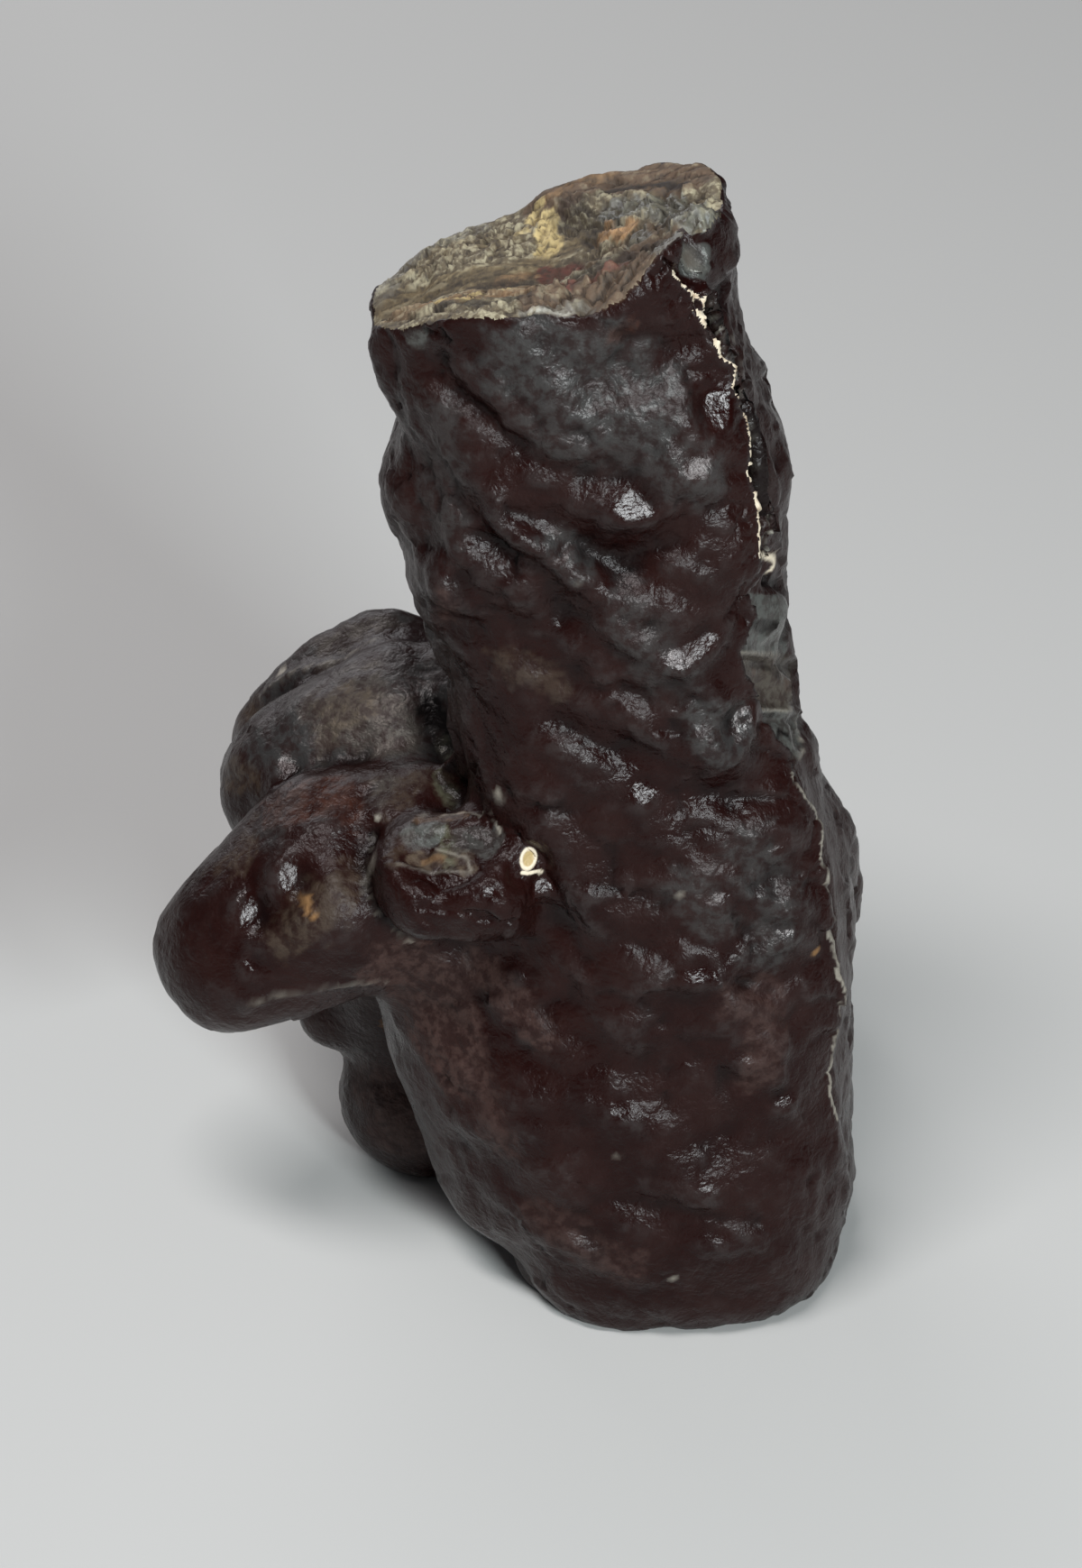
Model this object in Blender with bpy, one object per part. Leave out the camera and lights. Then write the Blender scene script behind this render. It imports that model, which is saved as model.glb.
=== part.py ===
"""A prophecy stone: one natural iron-oxide concretion, standing on its own worn foot.

A leaning trunk is broken off across its top. Lobes grow from its left side: a thick
finger, a small broken knob, a rounded block with a thin plate behind it, and a low bulb
that reaches the ground. A split runs down the right flank, and a knob stands out behind.

Lengths in the tables are millimetres. +Z is up, the front faces -Y, and the stone rests
on z = 0 with the origin under the middle of its box.
"""

import math

import bmesh
import bpy
import numpy as np
from mathutils import Matrix, Vector, noise

MM = 0.001

# For each side the stone is seen from: the ways across it and up it, and the way it faces.
VIEWS = {
    "front": ((1, 0, 0), (0, 0, 1), (0, -1, 0)),
    "right": ((0, 1, 0), (0, 0, 1), (1, 0, 0)),
    "back": ((-1, 0, 0), (0, 0, 1), (0, 1, 0)),
    "left": ((0, -1, 0), (0, 0, 1), (-1, 0, 0)),
    "above": ((1, 0, 0), (0, 1, 0), (0, 0, 1)),
}
# A side's forms fade in as the skin turns to face that side, between these shares.
FACING_FADE = (0.1, 0.6)

# The trunk's outline, foot to top: height, middle x, middle y, half width, half depth.
TRUNK = (
    (-2.0, 12.8, -3.4, 10.8, 10.4),
    (0.5, 12.8, -3.5, 12.6, 12.1),
    (5.0, 12.2, -3.3, 14.0, 13.0),
    (11.0, 10.9, -2.8, 15.7, 13.4),
    (18.0, 9.1, -2.3, 17.3, 13.3),
    (25.0, 9.4, -1.8, 16.9, 12.6),
    (33.0, 10.1, -1.4, 15.5, 11.8),
    (41.0, 9.5, -1.0, 13.9, 11.2),
    (49.0, 8.3, -0.6, 13.2, 10.8),
    (56.0, 7.0, -0.3, 13.4, 11.0),
    (64.0, 5.9, 0.0, 14.1, 11.4),
    (72.0, 5.2, 0.3, 13.8, 11.4),
    (79.0, 3.4, 0.6, 13.6, 11.2),
    (86.0, 2.6, 0.8, 12.8, 10.8),
    (96.0, 1.6, 1.0, 12.6, 10.6),
)
TRUNK_SIDES = 48
TRUNK_SQUARENESS = 2.4

# Rounded lobes: middle (x, y, z), half sizes, squareness, turn about Y in degrees.
LOBES = {
    "block": ((-11.0, 7.8, 36.4), (11.8, 7.3, 9.2), 2.5, -28),
    "plate": ((-10.6, 14.0, 35.8), (10.9, 3.2, 8.8), 2.6, -28),
    "bulb": ((-7.5, 8.1, 6.2), (7.2, 7.0, 7.4), 2.0, 0),
    "small_knob": ((-4.0, -9.8, 38.4), (6.3, 4.8, 4.6), 2.4, -3),
}

# Limbs: balls along a path, each (x, y, z, radius).
LIMBS = {
    "finger": ((2.0, 0.5, 35.0, 9.0), (-6.0, -1.0, 34.5, 8.6), (-13.0, -3.0, 33.0, 8.5),
               (-17.5, -4.2, 31.0, 7.4), (-20.6, -5.0, 29.3, 6.5)),
    "neck": ((-7.5, 8.5, 9.0, 6.0), (-9.5, 9.0, 19.0, 7.0), (-11.5, 8.5, 32.0, 8.0)),
    "web": ((-9.0, 10.0, 37.0, 8.0), (-1.0, 6.0, 40.0, 8.0)),
    "rear_knob": ((12.0, 3.0, 28.5, 9.0), (17.5, 7.0, 26.6, 7.2), (21.6, 8.8, 25.2, 5.8)),
    "rear_fold": ((3.0, 8.0, 30.0, 5.0), (6.0, 9.0, 20.0, 5.5), (9.0, 7.0, 8.0, 6.0)),
    "nub": ((-14.6, 8.0, 13.2, 3.4), (-11.0, 9.0, 14.5, 5.0)),
    "buttress": ((-4.0, -1.5, 30.0, 8.0), (-1.5, -3.0, 21.0, 8.5), (3.0, -4.0, 12.0, 10.0)),
}
BALL_SPACING = 1.0

CLAY_VOXEL = 0.7
SMOOTH_PASSES = 4
SMOOTH_FACTOR = 0.5

# Swellings and hollows: where each is seen from, place across and up, half sizes, turn in
# degrees, and height above the skin, which a hollow has below zero.
SWELLINGS = (
    # The trunk's upper front: waxy lumps under the broken rim.
    ("front", (9.0, 80.0), (4.5, 2.6), -35, -0.6),
    ("front", (3.5, 79.0), (3.2, 1.8), -20, 0.5),
    ("front", (12.6, 76.5), (1.9, 2.2), 0, 0.8),
    ("front", (12.2, 72.8), (2.6, 1.4), 25, 0.7),
    ("front", (8.2, 70.4), (1.9, 1.9), 0, 0.9),
    ("front", (7.8, 66.0), (2.4, 1.6), -30, -1.1),
    ("front", (0.6, 68.6), (4.6, 1.5), -42, 0.9),
    ("front", (-4.8, 63.6), (1.3, 2.6), 25, 0.7),
    ("front", (-6.2, 66.2), (1.6, 1.5), 0, -1.1),
    # Its middle: two rolls running down to the right, and the oval dome beside the window.
    ("front", (9.6, 62.4), (3.0, 1.6), 20, 0.7),
    ("front", (12.1, 59.4), (2.9, 1.6), 30, 1.0),
    ("front", (1.5, 57.5), (4.2, 1.7), -35, 0.7),
    ("front", (14.6, 51.4), (2.5, 3.2), 0, 1.1),
    ("front", (9.6, 53.0), (3.4, 1.3), -38, 0.6),
    ("front", (9.4, 47.5), (3.0, 2.0), 0, 0.6),
    # Its lower front: the curved ridge beside the small knob, and the raised tongue.
    ("front", (2.6, 44.5), (1.6, 5.2), 24, 1.0),
    ("front", (4.6, 38.0), (2.4, 1.4), -30, 0.8),
    ("front", (17.6, 43.0), (2.4, 2.2), 0, 0.5),
    ("front", (14.4, 38.6), (2.4, 2.4), 0, 0.6),
    ("front", (20.6, 37.0), (2.0, 2.2), 0, 0.6),
    ("front", (12.6, 33.0), (4.6, 1.3), 14, 1.0),
    ("front", (18.6, 32.6), (2.8, 1.5), -25, -1.0),
    ("front", (18.4, 26.6), (2.2, 4.2), 6, 0.8),
    ("front", (20.4, 21.0), (1.8, 1.6), 0, 0.6),
    ("front", (8.2, 20.5), (3.0, 1.4), -30, 0.6),
    ("front", (2.0, 21.0), (2.4, 1.6), -30, 0.6),
    ("front", (14.8, 14.3), (2.0, 1.5), 0, 0.6),
    ("front", (21.4, 13.0), (2.4, 1.5), 0, 0.5),
    ("front", (3.8, 9.5), (4.0, 1.8), -30, 0.7),
    ("front", (13.8, 8.8), (2.2, 1.4), 15, 0.5),
    # The pit between the block, the finger and the trunk.
    ("front", (-5.0, 43.2), (1.8, 2.2), 10, -2.6),
    # The finger: its upper ridge, the bulge below, and the dent behind its tip.
    ("front", (-16.5, 39.8), (4.6, 1.6), 22, 0.4),
    ("front", (-13.6, 36.0), (2.8, 2.6), 0, 0.5),
    ("front", (-18.6, 34.6), (2.0, 1.8), 0, -0.3),
    # The other sides.
    ("left", (4.0, 76.5), (3.0, 4.0), 0, 0.8),
    ("left", (2.0, 68.0), (3.0, 2.6), 0, 0.7),
    ("left", (0.0, 61.5), (4.0, 3.0), 20, -0.7),
    ("left", (-4.0, 20.0), (3.4, 3.0), 0, -0.8),
    ("back", (-2.0, 74.0), (6.0, 3.0), 20, -0.8),
    ("back", (-9.0, 64.0), (4.0, 3.4), -10, 0.9),
    ("back", (2.0, 58.0), (3.6, 5.0), 15, 0.8),
    ("back", (-6.0, 46.0), (5.0, 3.0), 25, -0.9),
    ("back", (-12.0, 12.0), (4.0, 5.0), 0, 0.9),
    ("right", (6.0, 46.0), (3.6, 5.0), 0, -0.9),
    ("right", (-1.0, 16.0), (3.0, 4.6), 10, 0.7),
)

# Furrows: where each is seen from, its course (across, up), half width and depth.
FURROWS = (
    ("front", ((-5.5, 79.5), (-2.0, 76.8), (1.0, 74.2), (4.0, 73.2), (7.5, 73.0)), 1.3, 0.9),
    ("front", ((-7.0, 72.0), (-3.6, 69.8), (-1.0, 66.6), (2.6, 64.4), (5.0, 61.5)), 1.3, 0.9),
    ("front", ((1.0, 70.6), (4.5, 69.0), (7.0, 67.0), (10.0, 68.2), (13.0, 69.6)), 1.2, 0.9),
    ("front", ((-4.0, 60.0), (0.5, 59.6), (5.0, 56.0), (9.0, 55.2)), 1.4, 0.8),
    ("front", ((2.0, 53.5), (6.0, 52.0), (9.0, 50.2), (12.5, 47.4), (17.5, 46.6)), 1.6, 0.9),
    ("front", ((-20.0, 36.2), (-17.0, 38.2), (-14.0, 39.6), (-11.0, 40.4)), 1.2, 0.9),
    ("front", ((-10.8, 41.0), (-11.4, 39.4), (-10.2, 37.2), (-8.4, 35.2), (-5.0, 34.0)), 1.0, 1.0),
    ("front", ((2.0, 41.5), (3.2, 37.5), (2.0, 34.0), (-2.0, 31.6)), 1.4, 0.9),
    ("front", ((3.0, 30.0), (7.0, 26.5), (12.0, 24.0), (16.0, 18.5)), 1.6, 0.6),
    ("front", ((0.5, 25.0), (3.5, 19.0), (8.5, 14.5), (13.0, 11.6)), 1.6, 0.6),
    ("above", ((-24.0, 11.0), (-15.0, 11.4), (-4.0, 11.0)), 0.8, 0.8),
    ("left", ((-11.2, 46.0), (-11.0, 36.0), (-11.4, 27.0)), 0.9, 0.7),
    ("left", ((-8.0, 74.0), (-2.0, 71.5), (3.0, 73.0)), 1.6, 0.8),
    ("back", ((-13.0, 70.0), (-6.0, 68.6), (0.0, 64.0), (6.0, 62.0)), 1.8, 0.8),
    ("back", ((-14.0, 40.0), (-9.0, 34.0), (-4.0, 24.0), (-3.0, 12.0)), 2.2, 1.0),
)

# The split down the right flank, seen from the right: the front shell's broken edge, as
# (y, z). Behind it the skin is lower by the step, with a narrow groove along the edge.
SPLIT = (
    (-6.6, 92.0), (-7.4, 87.0), (-6.8, 82.7), (-6.9, 77.2), (-7.1, 72.0), (-7.6, 69.5),
    (-6.7, 63.6), (-8.4, 60.4), (-9.2, 57.0), (-8.6, 53.4), (-7.3, 47.1), (-6.2, 44.0),
    (-5.3, 38.6), (-5.4, 32.0), (-6.4, 27.0), (-7.8, 22.0), (-8.2, 17.0), (-8.6, 11.0),
)
SPLIT_STEP = 1.1
SPLIT_STEP_DROP = (-0.2, 0.5)
SPLIT_STEP_FADE = (4.0, 12.0)
SPLIT_GROOVE = 1.0
SPLIT_GROOVE_WIDTH = 1.1
SPLIT_ENDS = (8.0, 15.0)

# Flat facets, three in the window and one on the broken knob: a point on each, the way it
# faces, and how far it reaches. The pressing fades out over the last share of the reach.
FACETS = (
    ((17.0, -5.2, 59.6), (0.80, -0.52, 0.30), 4.6),
    ((16.9, -5.6, 54.6), (0.84, -0.54, -0.06), 4.2),
    ((18.0, -5.2, 49.4), (0.80, -0.44, 0.40), 4.0),
    ((-4.6, -10.4, 42.0), (-0.12, -0.5, 0.85), 4.4),
)
FACET_FLAT_SHARE = 0.7

# Seeded lumps and ripples: how far apart and how high, and the lumps' stretch down a slow
# twist. Broad swells lie under them, low in front and high behind.
LUMP_SPACING = 5.6
LUMP_HEIGHT = 0.75
LUMP_STRETCH = 0.55
LUMP_TWIST = 0.055
RIPPLE_SPACING = 2.6
RIPPLE_HEIGHT = 0.18
WARP_SPACING = 13.0
WARP_HEIGHT = 2.6
FRONT_WARP_HEIGHT = 0.7
WARP_REAR_FACING = (-0.1, 0.7)
# The lumps are lower on the lobes and on the flank behind the split. The lobes' share fades
# in over these x and below these heights.
LOBE_CALM = 0.6
LOBE_START = (-9.0, -5.0)
LOBE_TOP = (46.0, 50.0)
FLANK_CALM = 0.35
FLANK_FACING = (0.2, 0.6)
FLANK_START = (0.0, 2.0)
LUMP_SEED = Vector((31.7, 12.9, 5.3))
RIPPLE_SEED = Vector((7.1, 44.4, 19.8))
WARP_SEED = Vector((2.6, 9.4, 61.5))

SKIN_TRIANGLES = 8300

# The broken top: its height on the axis, and its rise for each mm towards +X and +Y.
TOP_HEIGHT = 83.7
TOP_RISE_X = 0.33
TOP_RISE_Y = -0.10
# Troughs: course (x, y), half width, depth. Steps: course with the high side on its left,
# rise, and how far the rise runs. Mounds: middle, reach, rise.
TOP_TROUGHS = (
    (((-9.0, 0.8), (-4.0, 0.3), (0.0, 0.0), (4.5, -0.8)), 2.2, 1.3),
)
TOP_STEPS = (
    (((0.0, 16.0), (1.5, 9.4), (4.0, 7.4), (5.6, 5.0),
      (7.1, 1.3), (9.2, -2.0), (11.3, -4.2), (18.0, -7.0)), 1.4, 1.8),
    (((14.0, -3.0), (4.4, -2.6), (0.6, -4.0), (-2.9, -4.6), (-6.4, -2.8), (-14.0, -1.6)), 0.8, 0.8),
)
TOP_MOUNDS = (
    ((-10.5, -0.5), 4.0, -1.2),
    ((4.6, 1.0), 5.0, -1.6),
    ((5.6, -10.0), 4.2, -2.2),
    ((11.2, -8.0), 2.6, 1.9),
    ((9.0, 6.0), 5.0, -0.9),
    ((15.5, 2.0), 5.5, -2.0),
)
TOP_GRAIN = 2.2
TOP_GRAIN_STRETCH = 0.5
TOP_ROUGHNESS = 0.9
TOP_GRID_STEP = 1.0
TOP_GRID_REACH = 20.0
CUTTER_HEIGHT = 110.0

GROUND_DEPTH = 20.0
GROUND_SIZE = (120.0, 120.0)

PATINA_COLOUR = (0.045, 0.026, 0.022, 1.0)
PATINA_ROUGHNESS = 0.35
SHARP_ANGLE = math.radians(50)


def loft(stations, sides, squareness):
    """One closed mesh through level rings, each a rounded oval."""
    mesh = bmesh.new()
    rings = []
    for height, middle_x, middle_y, half_width, half_depth in stations:
        ring = []
        for step in range(sides):
            angle = 2 * math.pi * step / sides
            across, along = math.cos(angle), math.sin(angle)
            reach = (abs(across) ** squareness + abs(along) ** squareness) ** (-1 / squareness)
            x = middle_x + half_width * reach * across
            y = middle_y + half_depth * reach * along
            ring.append(mesh.verts.new((x, y, height)))
        rings.append(ring)
    for low, high in zip(rings, rings[1:]):
        for step in range(sides):
            after = (step + 1) % sides
            mesh.faces.new((low[step], low[after], high[after], high[step]))
    mesh.faces.new(reversed(rings[0]))
    mesh.faces.new(rings[-1])
    return mesh


def add_lobe(mesh, middle, half_sizes, squareness, turn):
    """Adds one rounded box or ball, turned about Y, to the clay."""
    place = Matrix.Translation(Vector(middle)) @ Matrix.Rotation(math.radians(turn), 4, "Y")
    made = bmesh.ops.create_icosphere(mesh, subdivisions=4, radius=1.0)
    for vert in made["verts"]:
        reach = sum(abs(c) ** squareness for c in vert.co) ** (-1 / squareness)
        rounded = vert.co * reach
        vert.co = place @ Vector(c * half for c, half in zip(rounded, half_sizes))


def add_limb(mesh, path):
    """Adds a limb to the clay, as overlapping balls along its path."""
    for start, end in zip(path, path[1:]):
        start, end = np.array(start), np.array(end)
        count = max(1, round(np.linalg.norm(end[:3] - start[:3]) / BALL_SPACING))
        for step in range(count + 1):
            *middle, radius = start + (end - start) * step / count
            place = Matrix.Translation(Vector(middle))
            bmesh.ops.create_icosphere(mesh, subdivisions=3, radius=radius, matrix=place)


def smooth_table(table, per_step=4):
    """More stations between the given ones, on a Catmull-Rom curve."""
    rows = np.array(table)
    made = []
    for index in range(len(rows) - 1):
        before, start, end, after = (
            rows[max(index - 1, 0)], rows[index], rows[index + 1], rows[min(index + 2, len(rows) - 1)]
        )
        for step in range(per_step):
            t = step / per_step
            made.append(0.5 * (
                2 * start + (end - before) * t
                + (2 * before - 5 * start + 4 * end - after) * t**2
                + (3 * start - before - 3 * end + after) * t**3
            ))
    made.append(rows[-1])
    return made


def new_object(name, mesh):
    """An object with this mesh, in the scene."""
    data = bpy.data.meshes.new(name)
    mesh.to_mesh(data)
    mesh.free()
    made = bpy.data.objects.new(name, data)
    bpy.context.scene.collection.objects.link(made)
    return made


def evaluated(obj):
    """A copy of the object's mesh with its modifiers applied."""
    graph = bpy.context.evaluated_depsgraph_get()
    return bpy.data.meshes.new_from_object(obj.evaluated_get(graph))


def clay():
    """Trunk, lobes and limbs melted into one closed skin."""
    mesh = loft(smooth_table(TRUNK), TRUNK_SIDES, TRUNK_SQUARENESS)
    for lobe in LOBES.values():
        add_lobe(mesh, *lobe)
    for path in LIMBS.values():
        add_limb(mesh, path)
    bmesh.ops.transform(mesh, matrix=Matrix.Scale(MM, 4), verts=mesh.verts)
    made = new_object("clay", mesh)
    melt = made.modifiers.new("Melt", "REMESH")
    melt.mode = "VOXEL"
    melt.voxel_size = CLAY_VOXEL * MM
    soften = made.modifiers.new("Soften", "SMOOTH")
    soften.factor = SMOOTH_FACTOR
    soften.iterations = SMOOTH_PASSES
    return made


def path_offset(places, path):
    """How far each place is from a path in a plane, and its side of the path as +1 or -1."""
    path = np.array(path)
    nearest = np.full(len(places), np.inf)
    side = np.ones(len(places))
    for start, end in zip(path, path[1:]):
        run = end - start
        share = np.clip((places - start) @ run / (run @ run), 0.0, 1.0)
        gap = places - (start + share[:, None] * run)
        distance = np.linalg.norm(gap, axis=1)
        closer = distance < nearest
        nearest[closer] = distance[closer]
        turn = run[0] * (places[:, 1] - start[1]) - run[1] * (places[:, 0] - start[0])
        side[closer] = np.where(turn[closer] < 0, -1.0, 1.0)
    return nearest, side


def ease(value, start, end):
    """0 up to start, 1 from end on, and a smooth rise between them."""
    share = np.clip((value - start) / (end - start), 0.0, 1.0)
    return share * share * (3 - 2 * share)


def seen_from(view, points, normals):
    """Places across and up as seen from a side, and how much each point faces it."""
    across, up, facing = VIEWS[view]
    places = points @ np.array((across, up)).T
    return places, ease(normals @ np.array(facing), *FACING_FADE)


def swell(points, normals):
    """How far the swellings and hollows move each point along its normal."""
    raised = np.zeros(len(points))
    for view, middle, half_sizes, turn, height in SWELLINGS:
        places, weight = seen_from(view, points, normals)
        angle = math.radians(turn)
        turned = np.array(((math.cos(angle), math.sin(angle)), (-math.sin(angle), math.cos(angle))))
        away = (places - np.array(middle)) @ turned.T / np.array(half_sizes)
        raised += weight * height * np.exp(-(away**2).sum(axis=1))
    return raised


def furrow(points, normals):
    """How far the furrows move each point along its normal."""
    raised = np.zeros(len(points))
    for view, path, half_width, depth in FURROWS:
        places, weight = seen_from(view, points, normals)
        distance, _ = path_offset(places, path)
        raised -= weight * depth * np.exp(-((distance / half_width) ** 2))
    return raised


def split(points, normals):
    """The step and the groove behind the front shell's broken edge."""
    places, weight = seen_from("right", points, normals)
    distance, side = path_offset(places, SPLIT)
    behind = distance * side
    weight = weight * ease(points[:, 2], *SPLIT_ENDS)
    step = SPLIT_STEP * ease(behind, *SPLIT_STEP_DROP) * (1 - ease(behind, *SPLIT_STEP_FADE))
    groove = SPLIT_GROOVE * np.exp(-(((behind - SPLIT_GROOVE_WIDTH) / SPLIT_GROOVE_WIDTH) ** 2))
    return -weight * (step + groove * (behind > 0)), behind


def lumps(points, calm, rear):
    """Seeded swells, strongest behind, and lumps drawn out along a slow twist round the trunk."""
    raised = np.zeros(len(points))
    for index, (x, y, z) in enumerate(points):
        swell_height = FRONT_WARP_HEIGHT + (WARP_HEIGHT - FRONT_WARP_HEIGHT) * rear[index]
        swell_share = noise.noise(Vector((x, y, z)) / WARP_SPACING + WARP_SEED)
        turn = LUMP_TWIST * z
        across, along = math.cos(turn), math.sin(turn)
        twisted = Vector((x * across - y * along, x * along + y * across, z * LUMP_STRETCH))
        cells = noise.voronoi(twisted / LUMP_SPACING + LUMP_SEED)[0]
        mound = 0.5 - cells[0]
        ripple = noise.noise(Vector((x, y, z)) / RIPPLE_SPACING + RIPPLE_SEED)
        raised[index] = calm[index] * (LUMP_HEIGHT * mound + RIPPLE_HEIGHT * ripple)
        raised[index] += swell_height * swell_share
    return raised


def flatten(points):
    """Presses the skin down on to each facet's plane."""
    for middle, facing, reach in FACETS:
        facing = np.array(facing) / np.linalg.norm(facing)
        away = points - np.array(middle)
        proud = np.maximum(away @ facing, 0.0)
        flat = np.linalg.norm(away - np.outer(away @ facing, facing), axis=1)
        near = (1 - ease(flat, FACET_FLAT_SHARE * reach, reach)) * (proud < reach)
        points = points - (proud * near)[:, None] * facing
    return points


def weather(mesh):
    """Moves the clay's skin to its hollows, swellings, furrows, split, lumps and facets."""
    count = len(mesh.vertices)
    points, normals = np.empty(count * 3), np.empty(count * 3)
    mesh.vertices.foreach_get("co", points)
    mesh.vertices.foreach_get("normal", normals)
    points, normals = points.reshape(-1, 3) / MM, normals.reshape(-1, 3)
    cracked, behind = split(points, normals)
    flank = ease(normals[:, 0], *FLANK_FACING) * ease(behind, *FLANK_START) * ease(points[:, 2], *SPLIT_ENDS)
    lobe = (1 - ease(points[:, 0], *LOBE_START)) * (1 - ease(points[:, 2], *LOBE_TOP))
    calm = (1 - (1 - FLANK_CALM) * flank) * (1 - (1 - LOBE_CALM) * lobe)
    rear = ease(normals[:, 1], *WARP_REAR_FACING)
    raised = swell(points, normals) + furrow(points, normals) + cracked + lumps(points, calm, rear)
    points = flatten(points + raised[:, None] * normals)
    mesh.vertices.foreach_set("co", (points * MM).ravel())
    mesh.update()


def top_height(x, y):
    """The broken top's height at a place, in mm."""
    height = TOP_HEIGHT + TOP_RISE_X * x + TOP_RISE_Y * y
    place = np.array(((x, y),))
    for path, half_width, depth in TOP_TROUGHS:
        distance, _ = path_offset(place, path)
        height -= depth * math.exp(-((distance[0] / half_width) ** 2))
    for path, rise, run in TOP_STEPS:
        distance, side = path_offset(place, path)
        height += rise * float(ease(distance[0] * side[0], -run / 2, run / 2))
    for middle, reach, rise in TOP_MOUNDS:
        height += rise * math.exp(-((x - middle[0]) ** 2 + (y - middle[1]) ** 2) / reach**2)
    grain = Vector((x * TOP_GRAIN_STRETCH, y, 0.0)) / TOP_GRAIN + RIPPLE_SEED
    return height + TOP_ROUGHNESS * noise.noise(grain)


def top_cutter():
    """Everything above the broken top, as one solid with the fracture on its underside."""
    count = round(2 * TOP_GRID_REACH / TOP_GRID_STEP) + 1
    places = [-TOP_GRID_REACH + step * TOP_GRID_STEP for step in range(count)]
    mesh = bmesh.new()
    low, high = (
        [[mesh.verts.new((x, y, height(x, y))) for x in places] for y in places]
        for height in (top_height, lambda x, y: CUTTER_HEIGHT)
    )
    for row in range(count - 1):
        for step in range(count - 1):
            for grid, flip in ((low, True), (high, False)):
                near, far = grid[row], grid[row + 1]
                corners = [near[step], near[step + 1], far[step + 1], far[step]]
                mesh.faces.new(corners[::-1] if flip else corners)
    last = count - 1
    for step in range(last):
        for a, b in (
            ((0, step), (0, step + 1)), ((last, step + 1), (last, step)),
            ((step + 1, 0), (step, 0)), ((step, last), (step + 1, last)),
        ):
            mesh.faces.new((low[a[0]][a[1]], low[b[0]][b[1]], high[b[0]][b[1]], high[a[0]][a[1]]))
    bmesh.ops.transform(mesh, matrix=Matrix.Scale(MM, 4), verts=mesh.verts)
    return as_cutter(new_object("top_cutter", mesh))


def as_cutter(obj):
    """Marks an object as a tool that isn't part of the stone."""
    obj.hide_render = True
    obj.display_type = "WIRE"
    return obj


def cut(target, cutter):
    """Takes the cutter's space away from the target."""
    modifier = target.modifiers.new("Cut", "BOOLEAN")
    modifier.operation = "DIFFERENCE"
    modifier.object = cutter
    modifier.solver = "EXACT"


def ground_cutter():
    """Everything below the surface the stone stands on."""
    mesh = bmesh.new()
    place = Matrix.Translation((0, 0, -GROUND_DEPTH / 2)) @ Matrix.Diagonal((*GROUND_SIZE, GROUND_DEPTH, 1))
    bmesh.ops.create_cube(mesh, size=1.0, matrix=Matrix.Scale(MM, 4) @ place)
    return as_cutter(new_object("ground_cutter", mesh))


def thin_out(obj, triangles):
    """Leaves about so many triangles of a skin of quads, where its shape needs them."""
    modifier = obj.modifiers.new("Thin out", "DECIMATE")
    modifier.ratio = triangles / (2 * len(obj.data.polygons))


def centre(mesh):
    """Puts the middle of the mesh's box over the origin."""
    corners = [vert.co for vert in mesh.vertices]
    middle_x, middle_y = (
        (min(co[axis] for co in corners) + max(co[axis] for co in corners)) / 2 for axis in (0, 1)
    )
    mesh.transform(Matrix.Translation((-middle_x, -middle_y, 0)))


def bake(obj):
    """Applies the object's modifiers to its mesh."""
    obj.data = evaluated(obj)
    obj.modifiers.clear()


def patina():
    """The dark, waxy skin."""
    made = bpy.data.materials.new("iron_patina")
    made.use_nodes = True
    shader = made.node_tree.nodes["Principled BSDF"]
    shader.inputs["Base Color"].default_value = PATINA_COLOUR
    shader.inputs["Roughness"].default_value = PATINA_ROUGHNESS
    shader.inputs["Metallic"].default_value = 0.0
    return made


def prophecy_stone():
    """The whole stone, as one solid."""
    made = clay()
    bake(made)
    weather(made.data)
    thin_out(made, SKIN_TRIANGLES)
    cut(made, top_cutter())
    cut(made, ground_cutter())
    bake(made)
    centre(made.data)
    made.name = made.data.name = "prophecy_stone"
    made.data.materials.clear()
    made.data.materials.append(patina())
    made.data.shade_smooth()
    made.data.set_sharp_from_angle(angle=SHARP_ANGLE)
    return made


for old in list(bpy.data.objects):
    bpy.data.objects.remove(old)
prophecy_stone()
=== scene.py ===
"""A natural iron-oxide stone: a leaning trunk with side lobes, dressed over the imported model's one node.

Everything is worked out in millimetres in the row frame and turned back into metres at the end.
"""
import logging
import math
from dataclasses import dataclass, field
from enum import Enum, IntEnum
from itertools import product
from typing import Any

import bmesh
import bpy
import numpy as np
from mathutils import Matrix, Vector
from mathutils.bvhtree import BVHTree
from mathutils.kdtree import KDTree


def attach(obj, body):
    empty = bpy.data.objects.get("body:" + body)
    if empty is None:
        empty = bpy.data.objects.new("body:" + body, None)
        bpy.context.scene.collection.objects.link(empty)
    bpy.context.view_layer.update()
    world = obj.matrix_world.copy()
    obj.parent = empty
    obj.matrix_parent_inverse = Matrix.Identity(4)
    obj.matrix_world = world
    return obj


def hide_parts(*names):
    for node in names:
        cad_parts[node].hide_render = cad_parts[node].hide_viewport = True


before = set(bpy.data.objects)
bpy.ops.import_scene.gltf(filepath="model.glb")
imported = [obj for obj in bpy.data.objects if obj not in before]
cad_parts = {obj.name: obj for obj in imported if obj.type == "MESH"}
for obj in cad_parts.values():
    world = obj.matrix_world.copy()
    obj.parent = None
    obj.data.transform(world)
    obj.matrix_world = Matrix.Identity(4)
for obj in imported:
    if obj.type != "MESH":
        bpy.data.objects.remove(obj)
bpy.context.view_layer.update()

log = logging.getLogger("stone")

MM = 0.001
Place = tuple[float, float]
Span = tuple[float, float]
Spot = tuple[float, float, float]
Path = tuple[Place, ...]
Colour = tuple[float, float, float, float]

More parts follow.
